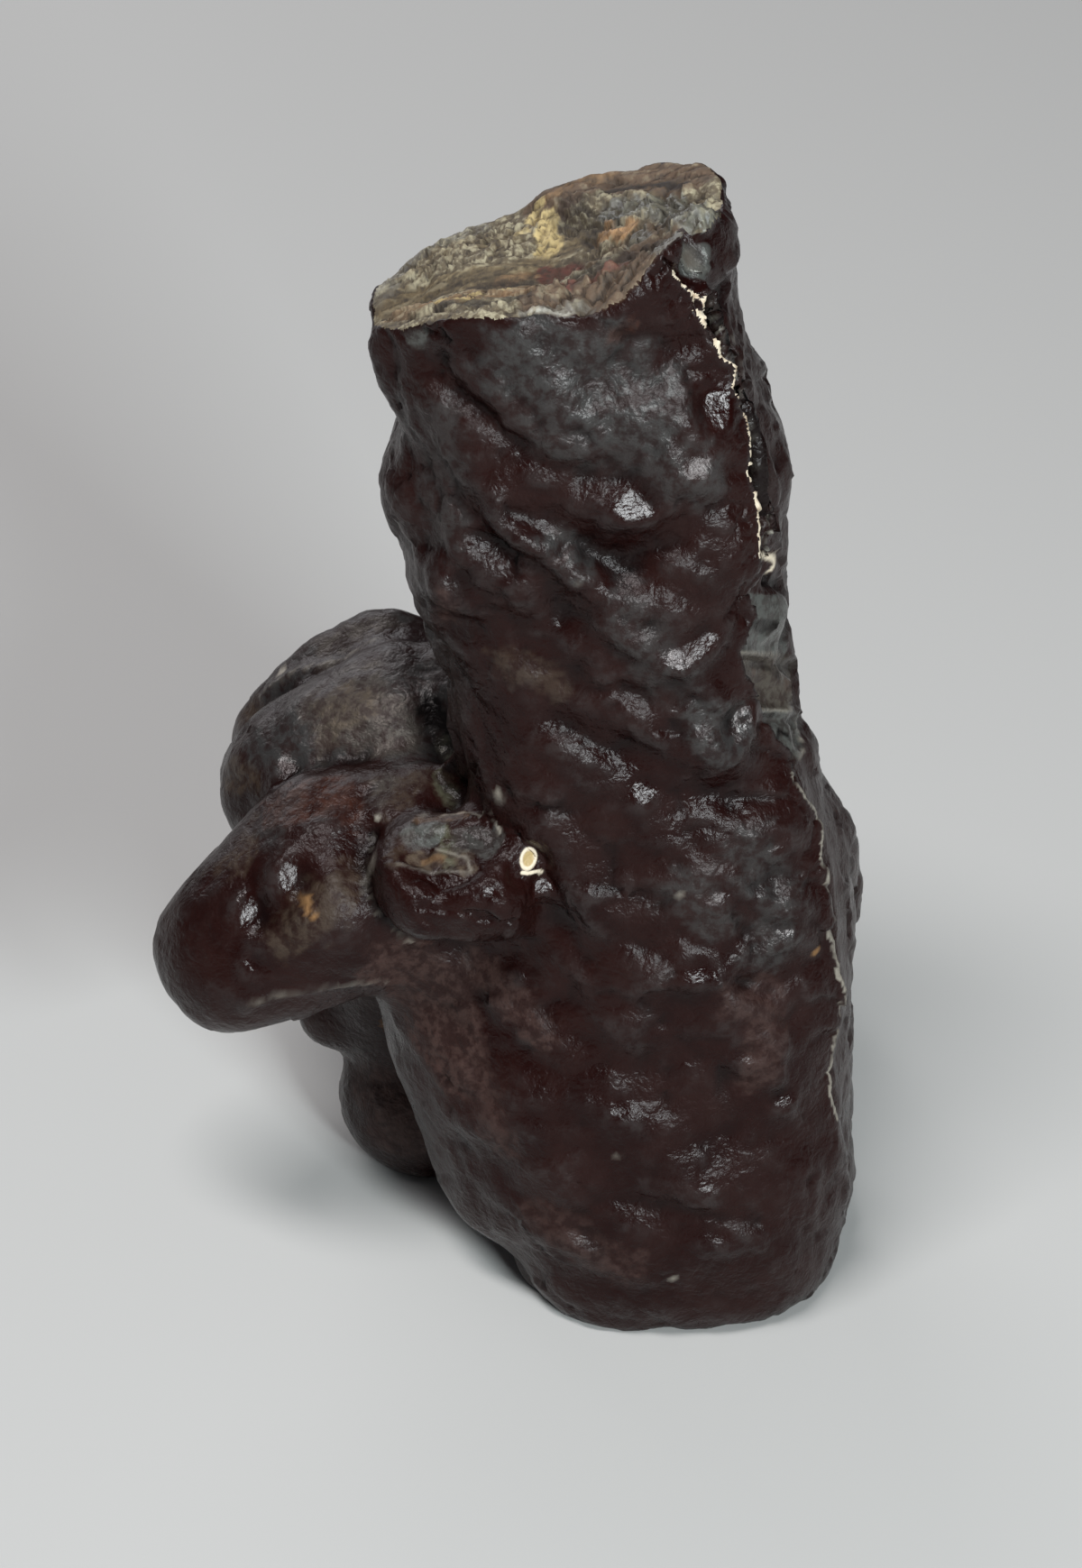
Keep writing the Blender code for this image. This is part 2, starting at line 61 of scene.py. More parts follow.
ELEVATION = 34.0    # degrees above level from which the stone is mostly seen
TILTED = (0.0, -math.cos(math.radians(ELEVATION)), math.sin(math.radians(ELEVATION)))
KEY_FACING = (0.21, -0.84, 0.50)     # the ways in which worn flats lie
TOP_FACING = (-0.11, -0.61, 0.79)
FINGER_FACING = (0.25, -0.82, 0.51)

SEED_STEP, SEED_START = 7919, 17     # they keep one noise apart from the next
CELL_MIX, TURN_MIX = np.uint32(0x85EBCA6B), np.uint32(0xC2B2AE35)
LARGEST = 4294967295.0               # the largest whole number of 32 bits
FINER, FAINTER = 2.03, 0.55          # each layer of a rough noise, against the layer before it
FAR = 1e9                            # millimetres, further than anything on the stone


# ---------------------------------------------------------------- named options

class Side(Enum):
    """The side a mark is looked up from: what runs across, what runs up, and what it faces."""

    FRONT = ((1, 0, 0), (0, 0, 1), (0, -1, 0))
    RIGHT = ((0, 1, 0), (0, 0, 1), (1, 0, 0))
    ABOVE = ((1, 0, 0), (0, 1, 0), (0, 0, 1))


class Paint(Enum):
    """What a mark does to the surface's finish. Each one is an attribute of the mesh."""

    DUST = "dust"
    # a grey-brown film on the skin, partly painted sheen
    HAZE = "haze"
    TAN = "tan"
    OCHRE = "ochre"
    RUST = "rust"
    PALE = "pale"
    # mostly painted shade in pits, cracks and recesses, with a few dark patches
    DARK = "dark"
    GLOSS = "gloss"
    CREAM = "cream"
    STRAW = "straw"
    PEACH = "peach"
    OLIVE = "olive"
    GREY = "grey"
    BROWN = "brown"


class Finish(Enum):
    """The order of the stone's material slots."""

    PATINA = 0
    BREAK = 1
    CREAM = 2


class Seed(IntEnum):
    """Which noise each effect uses."""

    SWING_ACROSS = 5
    SWING_BACK = 9
    LUMP = 13
    BREAK_GRAIN = 23
    CRINKLE = 27
    PIECE = 31
    CRINKLED_PLACES = 33
    HARD_PLACES = 37
    SPLIT_EDGE = 41
    FOLD = 51
    CRUMB = 57
    CREAM_EDGE = 61
    PALE_EDGE = 63
    STROKE = 71
    STAIN = 83
    WINDOW = 91
    FACET = 201
    CHIP = 211


# ---------------------------------------------------------------- numbers

def ease(value: np.ndarray, start: float, end: float) -> np.ndarray:
    """Rise smoothly from 0 at start to 1 at end."""
    share = np.clip((value - start) / (end - start), 0.0, 1.0)
    return share * share * (3.0 - 2.0 * share)


def fade(value: np.ndarray, start: float, end: float) -> np.ndarray:
    """Fall smoothly from 1 at start to 0 at end."""
    return ease(-value, -end, -start)


def bell(value: np.ndarray, width: float | np.ndarray) -> np.ndarray:
    """A rounded peak that is 1 at 0 and about a third of that one width away."""
    return np.exp(-((value / width) ** 2))


def lengths(rows: np.ndarray) -> np.ndarray:
    """The length of each row."""
    return np.sqrt((rows * rows).sum(axis=1))


def unit(way: Any) -> np.ndarray:
    """A way of length 1."""
    return np.array(way) / np.linalg.norm(way)


def shares(cell: np.ndarray, seed: int, count: int) -> np.ndarray:
    """Random numbers that belong to whole-numbered cells.

    Args:
        cell: Whole-numbered coordinates, one row for each point.
        seed: Which set of numbers.
        count: How many numbers for each cell.

    Returns:
        One row of numbers from 0 to 1 for each point.
    """
    state = np.full(len(cell), seed * SEED_STEP + SEED_START, np.uint32)
    for axis in range(cell.shape[1]):
        state = (state ^ cell[:, axis].astype(np.int64).astype(np.uint32)) * CELL_MIX
        state ^= state >> np.uint32(13)
    columns = []
    for turn in range(count):
        state = state * TURN_MIX + np.uint32(turn + 1)
        state ^= state >> np.uint32(16)
        columns.append(state / LARGEST)
    return np.stack(columns, axis=1)


def swell(points: np.ndarray, seed: int) -> np.ndarray:
    """Soft noise from about -1 to 1 with swells one unit across.

    Args:
        points: Places, already divided by the size of a swell.
        seed: Which noise.

    Returns:
        One number for each point.
    """
    base = np.floor(points)
    part = points - base
    part = part * part * (3.0 - 2.0 * part)
    total = np.zeros(len(points))
    for corner in product((0, 1), repeat=points.shape[1]):
        step = np.array(corner)
        weight = np.prod(np.where(step == 1, part, 1.0 - part), axis=1)
        total += weight * shares(base + step, seed, 1)[:, 0]
    return total * 2.0 - 1.0


def rough(points: np.ndarray, seed: int, layers: int = 3) -> np.ndarray:
    """Noise with finer swells laid over coarse ones, from about -1 to 1."""
    total = sum(swell(points * FINER**turn, seed + turn) * FAINTER**turn for turn in range(layers))
    return total / sum(FAINTER**turn for turn in range(layers))


def warp(points: np.ndarray, seed: int, finer: float, amount: float) -> np.ndarray:
    """Shift places by soft noise, so that what is laid over them doesn't run straight."""
    return points + amount * np.stack([swell(points * finer, seed + axis) for axis in range(3)], axis=1)


def lumps(points: np.ndarray, seed: int) -> np.ndarray:
    """Rounded lumps with sharp creases between them, from about -0.5 to 1."""
    return np.abs(swell(warp(points, seed, 1.3, 0.35), seed + 7)) * 2.2 - 0.5


def cells(points: np.ndarray, seed: int) -> tuple[np.ndarray, np.ndarray, np.ndarray]:
    """Split space into uneven cells one unit across.

    Args:
        points: Places, already divided by the size of a cell.
        seed: Which cells.

    Returns:
        The nearest cell's lead over the next nearest, its three random numbers, and the way from its
        middle.
    """
    base = np.floor(points)
    count, axes = points.shape
    best, second = np.full(count, FAR), np.full(count, FAR)
    pick, way = np.zeros((count, 3)), np.zeros((count, axes))
    for step in product((-1, 0, 1), repeat=axes):
        cell = base + np.array(step)
        random = shares(cell, seed, axes + 3)
        apart = points - cell - random[:, :axes]
        distance = lengths(apart)
        closer = distance < best
        second = np.where(closer, best, np.minimum(second, distance))
        best = np.where(closer, distance, best)
        pick[closer] = random[closer, axes:]
        way[closer] = apart[closer]
    return second - best, pick, way


def leaning(pick: np.ndarray, way: np.ndarray) -> np.ndarray:
    """How high a cell's own lean lifts a place, from its random numbers and the way from its middle."""
    return ((pick * 2.0 - 1.0) * way).sum(axis=1)


def facets(points: np.ndarray, seed: int, crease: float = 0.17) -> tuple[np.ndarray, np.ndarray]:
    """Uneven flat places that lean each its own way, and the creases between them.

    Args:
        points: Places, already divided by the size of a flat place.
        seed: Which facets.
        crease: How wide a crease is.

    Returns:
        The flats' height from about -0.5 to 0.5, and the creases from 0 to 1.
    """
    lead, pick, way = cells(warp(points, seed, 1.7, 0.22), seed)
    return leaning(pick, way), bell(lead, crease)


def path_offset(places: np.ndarray, path: Path) -> tuple[np.ndarray, np.ndarray]:
    """How far places lie from a path of straight runs.

    Args:
        places: Rows of two coordinates.
        path: The path's corners, or one place.

    Returns:
        The distances, and which side they are on: above 0 is left of the way the path runs.
    """
    if len(path) == 1:
        return lengths(places - np.array(path[0])), np.ones(len(places))
    nearest, side = np.full(len(places), FAR), np.ones(len(places))
    for start, end in zip(path, path[1:]):
        run = np.subtract(end, start)
        apart = places - np.array(start)
        along = np.clip(apart @ run / (run @ run), 0.0, 1.0)
        distance = lengths(apart - along[:, None] * run)
        closer = distance < nearest
        nearest[closer] = distance[closer]
        turn = run[0] * apart[:, 1] - run[1] * apart[:, 0]
        side[closer] = np.where(turn >= 0, 1.0, -1.0)[closer]
    return nearest, side


# ---------------------------------------------------------------- marks

@dataclass(frozen=True)
class Stroke:
    """A line pressed into the skin, or raised on it where its height is above 0."""

    side: Side
    path: Path
    width: float
    height: float
    level: float | None = None


@dataclass(frozen=True)
class Pad:
    """A small worn flat on a lump."""

    side: Side
    place: Place
    radius: float
    facing: Spot
    gloss: float


@dataclass(frozen=True)
class Tint:
    """A spot or streak of one finish, its half width, and how ragged its edge is."""

    paint: Paint
    side: Side
    path: Path
    half: float
    amount: float = 1.0
    ragged: float = 0.5
    level: float | None = None


def strokes_on(side: Side, *rows: tuple[Any, ...], level: float | None = None) -> tuple[Stroke, ...]:
    """Strokes seen from one side, each given by its path, width and height."""
    return tuple(Stroke(side, *row, level) for row in rows)


def pads_on(side: Side, facing: Spot, *rows: tuple[Any, ...]) -> tuple[Pad, ...]:
    """Worn flats that lie one way, each given by its place, radius and gloss."""
    return tuple(Pad(side, place, radius, facing, gloss) for place, radius, gloss in rows)


def tints_on(paint: Paint, side: Side, *rows: tuple[Any, ...],
             level: float | None = None) -> tuple[Tint, ...]:
    """Spots and streaks of one finish, each given by its path, half width, amount and raggedness."""
    return tuple(Tint(paint, side, *row, level=level) for row in rows)


@dataclass(frozen=True)
class Splits:
    """How one part of the break has split.

    Its pieces have a length and a width, a turn of their run in degrees, how far they stand proud of each
    other, how much they tilt, and how deep the gaps between them are.
    """

    path: Path
    half: float
    along: float
    across: float
    turn: float
    proud: float
    tilt: float
    gap: float

    def lay(self, places: np.ndarray) -> np.ndarray:
        """Count places in pieces.

        Args:
            places: Rows of two coordinates.

        Returns:
            How many pieces along and across this part's run each place lies.
        """
        turn = math.radians(self.turn)
        run = np.array((math.cos(turn), math.sin(turn)))
        side = np.array((-run[1], run[0]))
        return np.stack([places @ run / self.along, places @ side / self.across], axis=1)


@dataclass(frozen=True)
class Window:
    """A smooth patch in the split.

    It has an upper and a lower slanted end, how far out it lies, how grey and how tan it is, and whether
    a pale ledge runs along its lower end.
    """

    top: float
    bottom: float
    out: float
    grey: float
    tan: float
    ledge: bool


@dataclass(frozen=True)
class Scar:
    """A flat place broken off the stone: its middle, the way it faces and its radius."""

    spot: Spot
    facing: Spot
    radius: float


# ---------------------------------------------------------------- the mesh

def fetch(items: Any, name: str, width: int = 1, kind: type = np.float32) -> np.ndarray:
    """Read one property of a mesh's items.

    Args:
        items: The mesh's vertices, edges, faces or corners.
        name: The property.
        width: How many numbers each item has.
        kind: What the mesh holds them as.

    Returns:
        A row for each item, or one column where the width is 1.
    """
    values = np.empty(len(items) * width, kind)
    items.foreach_get(name, values)
    return values.reshape(-1, width) if width > 1 else values


class StoneMesh:
    """The stone's one mesh, held as arrays in millimetres while its parts shape it."""

    weld = 1e-6                      # metres
    level_band = 4.0                 # how far from its level a mark still takes hold
    sight_off, sight_ahead = 0.5, 1.2  # where a line of sight starts, off the skin and towards the eye
    polish_pulls = (0.5, -0.53)      # in, and slightly further out again
    stroke_reach = 2.6               # in widths
    stroke_waver, stroke_waver_size = 0.35, 1.3  # how much its width varies, and over what length
    stroke_facing: Span = (0.0, 0.35)
    pad_reach = 1.6                  # in radii, like the next two
    pad_edge: Span = (0.55, 1.25)
    pad_limit = 0.8
    pad_strength = 0.9
    pad_depth: Span = (4.0, 6.0)     # how far behind its foremost vertex a pad ends
    pad_facing: Span = (0.1, 0.4)    # how squarely a vertex must face the mark's side, like the other two
    tint_reach, tint_margin = 2.2, 0.4  # in half widths, and in millimetres, like the next two pairs
    tint_grain, tint_least_grain = 0.6, 0.7
    tint_soft, tint_least_soft = 0.25, 0.12
    tint_facing: Span = (0.0, 0.2)
    small_face, short_edge = 0.12, 0.3  # smaller faces and shorter edges aren't cut finer

    def __init__(self, source: bpy.types.Object, voxel: float) -> None:
        """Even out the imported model's faces.

        Args:
            source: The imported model's node.
            voxel: The size of a face in millimetres.
        """
        data = bpy.data.meshes.new("prophecy_stone_skin")
        model = bmesh.new()
        model.from_mesh(source.data)
        bmesh.ops.remove_doubles(model, verts=model.verts, dist=self.weld)
        bmesh.ops.scale(model, vec=(1 / MM,) * 3, verts=model.verts)
        bmesh.ops.recalc_face_normals(model, faces=model.faces)
        model.to_mesh(data)
        self.model = BVHTree.FromBMesh(model)
        model.free()
        self.obj = bpy.data.objects.new("prophecy_stone_skin", data)
        bpy.context.scene.collection.objects.link(self.obj)
        grid = self.obj.modifiers.new("Even grid", "REMESH")
        grid.mode, grid.voxel_size, grid.adaptivity = "VOXEL", voxel, 0.0
        graph = bpy.context.evaluated_depsgraph_get()
        even = bpy.data.meshes.new_from_object(self.obj.evaluated_get(graph))
        self.obj.modifiers.clear()
        self.obj.data = even
        self.marks: dict[str, np.ndarray] = {}
        self.open: dict[Side, np.ndarray] = {}
        self.read()

    def read(self) -> None:
        """Take the places and edges from the mesh."""
        mesh = self.obj.data
        self.at = fetch(mesh.vertices, "co", 3).astype(float)
        self.ends = fetch(mesh.edges, "vertices", 2, np.int32)
        self.degree = np.bincount(self.ends.ravel(), minlength=len(self.at)).astype(float)
        self.refresh()

    def refresh(self) -> None:
        """Give the mesh the arrays' places and take its normals."""
        mesh = self.obj.data
        mesh.vertices.foreach_set("co", self.at.astype(np.float32).ravel())
        mesh.update()
        self.normal = fetch(mesh.vertex_normals, "vector", 3).astype(float)

    def corners(self) -> tuple[np.ndarray, np.ndarray, np.ndarray]:
        """Each face corner's vertex, the face it belongs to, and each face's number of corners."""
        mesh = self.obj.data
        vertex = fetch(mesh.loops, "vertex_index", kind=np.int32)
        sizes = fetch(mesh.polygons, "loop_total", kind=np.int32)
        return vertex, np.repeat(np.arange(len(sizes)), sizes), sizes

    def to_faces(self, values: np.ndarray) -> np.ndarray:
        """Carry values from the vertices to the faces: each face gets its vertices' mean."""
        corner, owner, sizes = self.corners()
        return np.bincount(owner, values[corner], len(sizes)) / sizes

    def to_vertices(self, values: np.ndarray) -> np.ndarray:
        """Carry values from the faces to the vertices.

        Args:
            values: A value for each face.

        Returns:
            Each vertex's mean of its faces' values.
        """
        corner, owner, _ = self.corners()
        touching = np.maximum(np.bincount(corner, minlength=len(self.at)), 1)
        return np.bincount(corner, values[owner], len(self.at)) / touching

    def mean(self, values: np.ndarray) -> np.ndarray:
        """Average over each vertex's neighbours.

        Args:
            values: A value for each vertex.

        Returns:
            Each vertex's neighbours' mean.
        """
        start, end = self.ends.T
        count = len(self.at)
        total = np.bincount(start, values[end], count) + np.bincount(end, values[start], count)
        return total / np.maximum(self.degree, 1.0)

    def spread(self, values: np.ndarray, passes: int) -> np.ndarray:
        """Blur values over the surface.

        Args:
            values: A value for each vertex.
            passes: How often they are blurred.

        Returns:
            The blurred values.
        """
        for _ in range(passes):
            values = 0.5 * values + 0.5 * self.mean(values)
        return values

    def blurred(self, rows: np.ndarray, passes: int) -> np.ndarray:
        """Blur rows of three values over the surface."""
        return np.stack([self.spread(rows[:, axis], passes) for axis in range(3)], axis=1)

    def pull(self, strength: float, share: np.ndarray) -> None:
        """Move each vertex by its share towards its neighbours' mean, or away where strength is below 0."""
        mean = np.stack([self.mean(self.at[:, axis]) for axis in range(3)], axis=1)
        self.at += (mean - self.at) * (share * strength)[:, None]

    def relax(self, passes: int, share: np.ndarray, strength: float = 0.5) -> None:
        """Smooth the shape.

        Args:
            passes: How often.
            share: How much each vertex takes part, from 0 to 1.
            strength: How far a vertex moves towards its neighbours' mean each time.
        """
        for _ in range(passes):
            self.pull(strength, share)
        self.refresh()

    def polish(self, passes: int, share: np.ndarray) -> None:
        """Smooth away small facets without shrinking the lumps.

        Args:
            passes: How often.
            share: How much each vertex takes part, from 0 to 1.
        """
        for _ in range(passes):
            for strength in self.polish_pulls:
                self.pull(strength, share)
        self.refresh()

    def push(self, height: np.ndarray, way: np.ndarray | None = None) -> None:
        """Move every vertex outwards by its height, along its normal unless another way is given."""
        self.at += (self.normal if way is None else way) * height[:, None]
        self.refresh()

    def seen(self, side: Side) -> tuple[np.ndarray, np.ndarray]:
        """Places as seen from one side, and how squarely each vertex faces it."""
        across, up, facing = (np.array(axis, float) for axis in side.value)
        return np.stack([self.at @ across, self.at @ up], axis=1), self.normal @ facing

    def look(self) -> None:
        """Find which vertices show from each side, so that a mark doesn't reach what lies behind."""
        for side, way in ((Side.FRONT, Vector(TILTED)), (Side.RIGHT, Vector((1.0, 0.0, 0.0)))):
            starts = self.at + self.normal * self.sight_off + np.array(way) * self.sight_ahead
            self.open[side] = np.array([self.model.ray_cast(Vector(start), way)[0] is None
                                        for start in starts])
        self.open[Side.ABOVE] = self.open[Side.FRONT]

    def near(self, side: Side, path: Path, limit: float,
             level: float | None = None) -> tuple[np.ndarray, np.ndarray, np.ndarray]:
        """Find the vertices near a path seen from one side.

        Args:
            side: Where the path is seen from.
            path: Its corners in millimetres.
            limit: How far away a vertex may lie.
            level: How far towards that side the path lies, or None for any depth.

        Returns:
            The vertices' indices, their distances from the path and how squarely they face that side.
        """
        places, facing = self.seen(side)
        low, high = np.min(path, axis=0) - limit, np.max(path, axis=0) + limit
        inside = np.all((places > low) & (places < high), axis=1) & (facing > 0.0)
        inside &= self.open[side]
        if level is not None:
            inside &= np.abs(self.at @ np.array(side.value[2], float) - level) < self.level_band
        index = np.flatnonzero(inside)
        distance, _ = path_offset(places[index], path)
        close = distance < limit
        return index[close], distance[close], facing[index[close]]

    def mark(self, paint: Paint, index: np.ndarray, amount: np.ndarray) -> None:
        """Lay a finish over some vertices, keeping what is stronger."""
        layer = self.marks.setdefault(paint.value, np.zeros(len(self.at)))
        layer[index] = np.maximum(layer[index], amount)

    def cover(self, paint: Paint, amount: np.ndarray) -> None:
        """Lay a finish over every vertex, keeping what is stronger."""
        self.mark(paint, np.arange(len(self.at)), amount)

    def press(self, strokes: tuple[Stroke, ...], height: np.ndarray) -> None:
        """Add some strokes to a column of heights.

        Args:
            strokes: The strokes.
            height: Each vertex's height, which is changed in place.
        """
        for stroke in strokes:
            reach = stroke.width * self.stroke_reach
            index, distance, facing = self.near(stroke.side, stroke.path, reach, stroke.level)
            waver = 1.0 + self.stroke_waver * swell(self.at[index] / self.stroke_waver_size, Seed.STROKE)
            height[index] += (stroke.height * bell(distance, stroke.width * waver)
                              * ease(facing, *self.stroke_facing))

    def pad(self, pad: Pad) -> None:
        """Flatten one worn place towards the way it faces.

        Args:
            pad: The worn place.
        """
        index, distance, facing = self.near(pad.side, (pad.place,), pad.radius * self.pad_reach)
        at, aim = self.at[index], unit(pad.facing)
        depth = at @ np.array(pad.side.value[2], float)
        near, far = self.pad_depth
        ahead = ease(depth, depth.max() - far, depth.max() - near)
        weight = bell(distance, pad.radius) * ease(facing, *self.pad_facing) * ahead
        apart = at - (at * weight[:, None]).sum(axis=0) / weight.sum()
        inner, outer = self.pad_edge
        hold = fade(lengths(apart), inner * pad.radius, outer * pad.radius) * ahead
        limit = self.pad_limit * pad.radius
        self.at[index] += aim * (np.clip(-(apart @ aim), -limit, limit) * hold * self.pad_strength)[:, None]
        self.mark(Paint.GLOSS, index, hold * pad.gloss)

    def stain(self, tints: tuple[Tint, ...], share: np.ndarray | None = None) -> None:
        """Lay spots and streaks of the finishes.

        Args:
            tints: The spots and streaks.
            share: How much of them each vertex may take, or None for all of it.
        """
        for tint in tints:
            reach = tint.half * self.tint_reach + self.tint_margin
            index, distance, facing = self.near(tint.side, tint.path, reach, tint.level)
            size = max(self.tint_least_grain, tint.half * self.tint_grain)
            grain = rough(self.at[index] / size, Seed.STAIN + len(tint.path))
            edge = tint.half * (1.0 + tint.ragged * grain) - distance
            soft = max(self.tint_least_soft, self.tint_soft * tint.half * tint.ragged)
            amount = ease(edge, -soft, soft) * ease(facing, *self.tint_facing) * tint.amount
            if share is not None:
                amount = amount * share[index]
            self.mark(tint.paint, index, amount)

    def refine(self, zones: dict[str, tuple[np.ndarray, int]]) -> None:
        """Cut the faces of some zones finer.

        Args:
            zones: For each zone, how much each vertex belongs to it and how many cuts an edge gets.
        """
        model = bmesh.new()
        model.from_mesh(self.obj.data)
        values = self.marks | {"zone " + name: share for name, (share, _) in zones.items()}
        layers = {name: model.verts.layers.float.new(name) for name in values}
        for vertex in model.verts:
            for name, layer in layers.items():
                vertex[layer] = values[name][vertex.index]
        for name, (_, cuts) in zones.items():
            layer = layers["zone " + name]
            chosen = [face for face in model.faces
                      if len(face.verts) == 4 and face.calc_area() > self.small_face
                      and sum(vertex[layer] for vertex in face.verts) > 2.0]
            edges = {edge for face in chosen for edge in face.edges if edge.calc_length() > self.short_edge}
            bmesh.ops.subdivide_edges(model, edges=list(edges), cuts=cuts, use_grid_fill=True)
        bmesh.ops.triangulate(model, faces=[face for face in model.faces if len(face.verts) > 4])
        for name in self.marks:
            self.marks[name] = np.array([vertex[layers[name]] for vertex in model.verts])
        model.to_mesh(self.obj.data)
        model.free()
        attributes = self.obj.data.attributes
        for name in values:
            attributes.remove(attributes[name])
        self.read()

    def write(self) -> None:
        """Store the marks as attributes and turn the mesh back into metres."""
        mesh = self.obj.data
        for name, values in self.marks.items():
            layer = mesh.attributes.new(name, "FLOAT", "POINT")
            layer.data.foreach_set("value", np.clip(values, 0.0, 1.0).astype(np.float32))
        self.at *= MM
        self.refresh()
        mesh.polygons.foreach_set("use_smooth", np.ones(len(mesh.polygons), bool))
        mesh.update()


# ---------------------------------------------------------------- the parts of the stone

SPLINTERS: Path = ((-8.8, 1.9), (-4.3, 1.1), (-0.6, 1), (2, 2), (4.1, 3.4))
SCAR_VEIN: Path = ((-2.1, 47), (-3.2, 45.3), (-5.4, 45.8))
CHIP_OUTLINE: Path = ((-6.6, 87.9), (-6.9, 86.4), (-6.5, 85.8), (-5.4, 87.3), (-6.6, 87.9))
PLATE_RIDGE: Path = ((-20.5, 12.2), (-17, 11.9), (-15, 11), (-12.5, 10.4), (-10.5, 11))
PLATE_TOP = 43.5    # heights near which a mark seen from above lies
KNOB_TOP = 42.0


@dataclass
class BrokenTop:
    """The granular break across the trunk's top: where it is, how it has split and its colours."""

    plane: Spot = (83.63, 0.33, -0.10)  # its height, and how it rises to the right and to the back
    lowest: float = 74.0         # a broken face lies above it, near enough to the plane, and faces its way
    depth: float = 3.6
    least_facing: float = 0.55
    ledge_end: Spot = (11.6, -3.0, 88.1)  # right of, in front of and above it all faces are broken
    cleanings: int = 2
    margin: float = 0.6          # how far outside its rim the break may still shape the stone
    splits: tuple[Splits, ...] = (
        Splits(((-7.5, 4.5), (-1, 5)), 3.4, 0.72, 0.60, 20, 0.19, 0.40, 0.16),
        Splits(SPLINTERS, 0.9, 3.6, 0.5, 4, 0.07, 0.12, 0.05),
        Splits(((-8, -3.2), (-5.9, -5.2), (-2.9, -7), (1, -7.2)), 1.7, 4.2, 0.55, -22, 0.30, 0.35, 0.25),
        Splits(((-4, -9), (1.5, -10)), 1.0, 1.3, 0.8, -10, 0.34, 0.5, 0.32),
        Splits(((3, -8), (7, -8.2), (9.4, -7.5)), 2.4, 1.7, 1.15, 28, 0.42, 0.65, 0.36),
        Splits(((4.4, -2), (8.5, -2.5)), 2.0, 1.6, 1.2, -15, 0.35, 0.5, 0.3),
        Splits(((2, 7.4), (2.6, 3.4)), 0.8, 0.75, 0.6, 70, 0.2, 0.4, 0.15),
        Splits(((3.2, 6.6), (5.2, 4.6), (7.2, 1.6)), 1.2, 2.6, 0.6, -52, 0.34, 0.5, 0.32),
        Splits(((3, 8.6), (7, 8.6), (12, 6.5)), 1.9, 4.6, 0.75, -10, 0.26, 0.25, 0.22),
        Splits(((8, 3.6), (10.5, 2.4), (12, -2), (12.4, -6)), 1.7, 1.6, 1.15, 55, 0.36, 0.75, 0.32),
    )
    swing_size: float = 3.0      # how long the wandering of the splits' lines is
    part_swing: float = 0.8      # and how far it moves the parts and the pieces
    piece_swing: float = 0.3
    part_core: float = 0.6       # the share of a part's half width in which it holds fully
    part_soft: float = 0.05
    layers: tuple[Spot, ...] = ((1.0, 1.0, 0.65), (1.8, 0.5, 0.35))  # fineness, strength, share of the gaps
    crack: float = 0.11          # in pieces
    arris: Spot = (0.30, 0.24, 0.08)  # a piece's lit edge: its strength, place and width
    arris_least: float = 0.45
    grain: float = 0.45
    grain_height: float = 0.05
    tints: tuple[Tint, ...] = (
        *tints_on(Paint.OLIVE, Side.ABOVE,
            (SPLINTERS, 0.95, 1, 0.3),
            (((-9, -1), (-5, -2.6)), 1.2, 0.7, 0.6),
            (((-7.5, 4), (-3, 5.5), (0, 5.5)), 1, 0.45, 0.9)),
        *tints_on(Paint.OCHRE, Side.ABOVE,
            (((-8, -3.6), (-4.5, -5.2), (1, -6.4)), 1.3, 0.6, 0.8),
            (((-5.9, -4.9), (-2.9, -7), (-0.5, -6.9), (1.2, -7.3)), 0.45),
            (((-1, 0.2), (1.5, 0.6)), 0.4, 0.8),
            (((2.7, 8.4), (4.5, 9), (7, 9.2)), 0.55, 0.75, 0.8)),
        *tints_on(Paint.STRAW, Side.ABOVE,
            (((-5.4, -5.3), (-3.2, -6.9), (-1.6, -7.2)), 0.2, 0.9, 0.9),
            (((-3, -5.4), (-0.5, -6), (1, -6.2)), 0.16, 0.7, 0.9),
            (((2.3, 3.2), (2.9, 4.2), (2.3, 5.4), (2.5, 7)), 0.72, 1, 0.7),
            (((1.3, 7.4), (1.8, 8.4)), 0.4, 0.8, 0.9),
            (((0.2, 5.8), (0.9, 6.2)), 0.35, 0.6, 0.9)),
        # painted shade in gaps and under ledges, and darker crystals
        *tints_on(Paint.DARK, Side.ABOVE,
            (((-4.6, -6.6), (-1.6, -8.4), (1, -8.6)), 0.45, 0.8, 0.8),
            (((6.5, 7.2), (9.5, 6.6), (12, 5)), 0.32),
            (((3.4, 6.8), (5, 4.6), (6.8, 2.2)), 0.9, 0.6, 0.7),
            (((4.6, -5.6), (7.5, -5.6), (9.6, -6.8)), 0.6, 0.7, 0.8)),
        *tints_on(Paint.RUST, Side.ABOVE,
            (((2.2, 0.6), (4.2, 0.4)), 0.8, 1, 0.4),
            (((2.6, -5.6), (3.9, -6.8)), 0.7, 0.9),
            (((5.6, -7), (7.4, -6.8)), 0.45, 0.7, 0.8)),
        *tints_on(Paint.PEACH, Side.ABOVE, (((6.3, 2.4), (6.9, 1.1), (8, 0.2)), 0.5, 1, 0.7)),
        *tints_on(Paint.PALE, Side.ABOVE, (((0.6, -10.2), (2.4, -10.4), (4, -10.2)), 0.2, 0.7, 1)),
        *tints_on(Paint.BROWN, Side.ABOVE,
            (((2.8, 8.4), (7, 8.8), (12.5, 6)), 2.1, 0.95, 0.3),
            (((3, -8.5), (7, -8.4), (9.5, -7)), 2.6, 0.9, 0.3),
            (((4.4, -1.5), (8.6, -3)), 2.2, 0.7)),
        *tints_on(Paint.GREY, Side.ABOVE,
            (((7.6, 3.6), (10, 3), (11.8, 0), (12.8, -5.5), (11, -7.8)), 1.7, 1, 0.4),
            (((8.4, -1.4), (8.9, -3.4)), 0.7, 0.9, 0.3),
            (((2, -10.6), (5, -10)), 0.6, 0.7, 0.8),
            (((-9.5, 3.5), (-8, 7), (-3, 9)), 1.4, 0.5, 0.8)),
    )

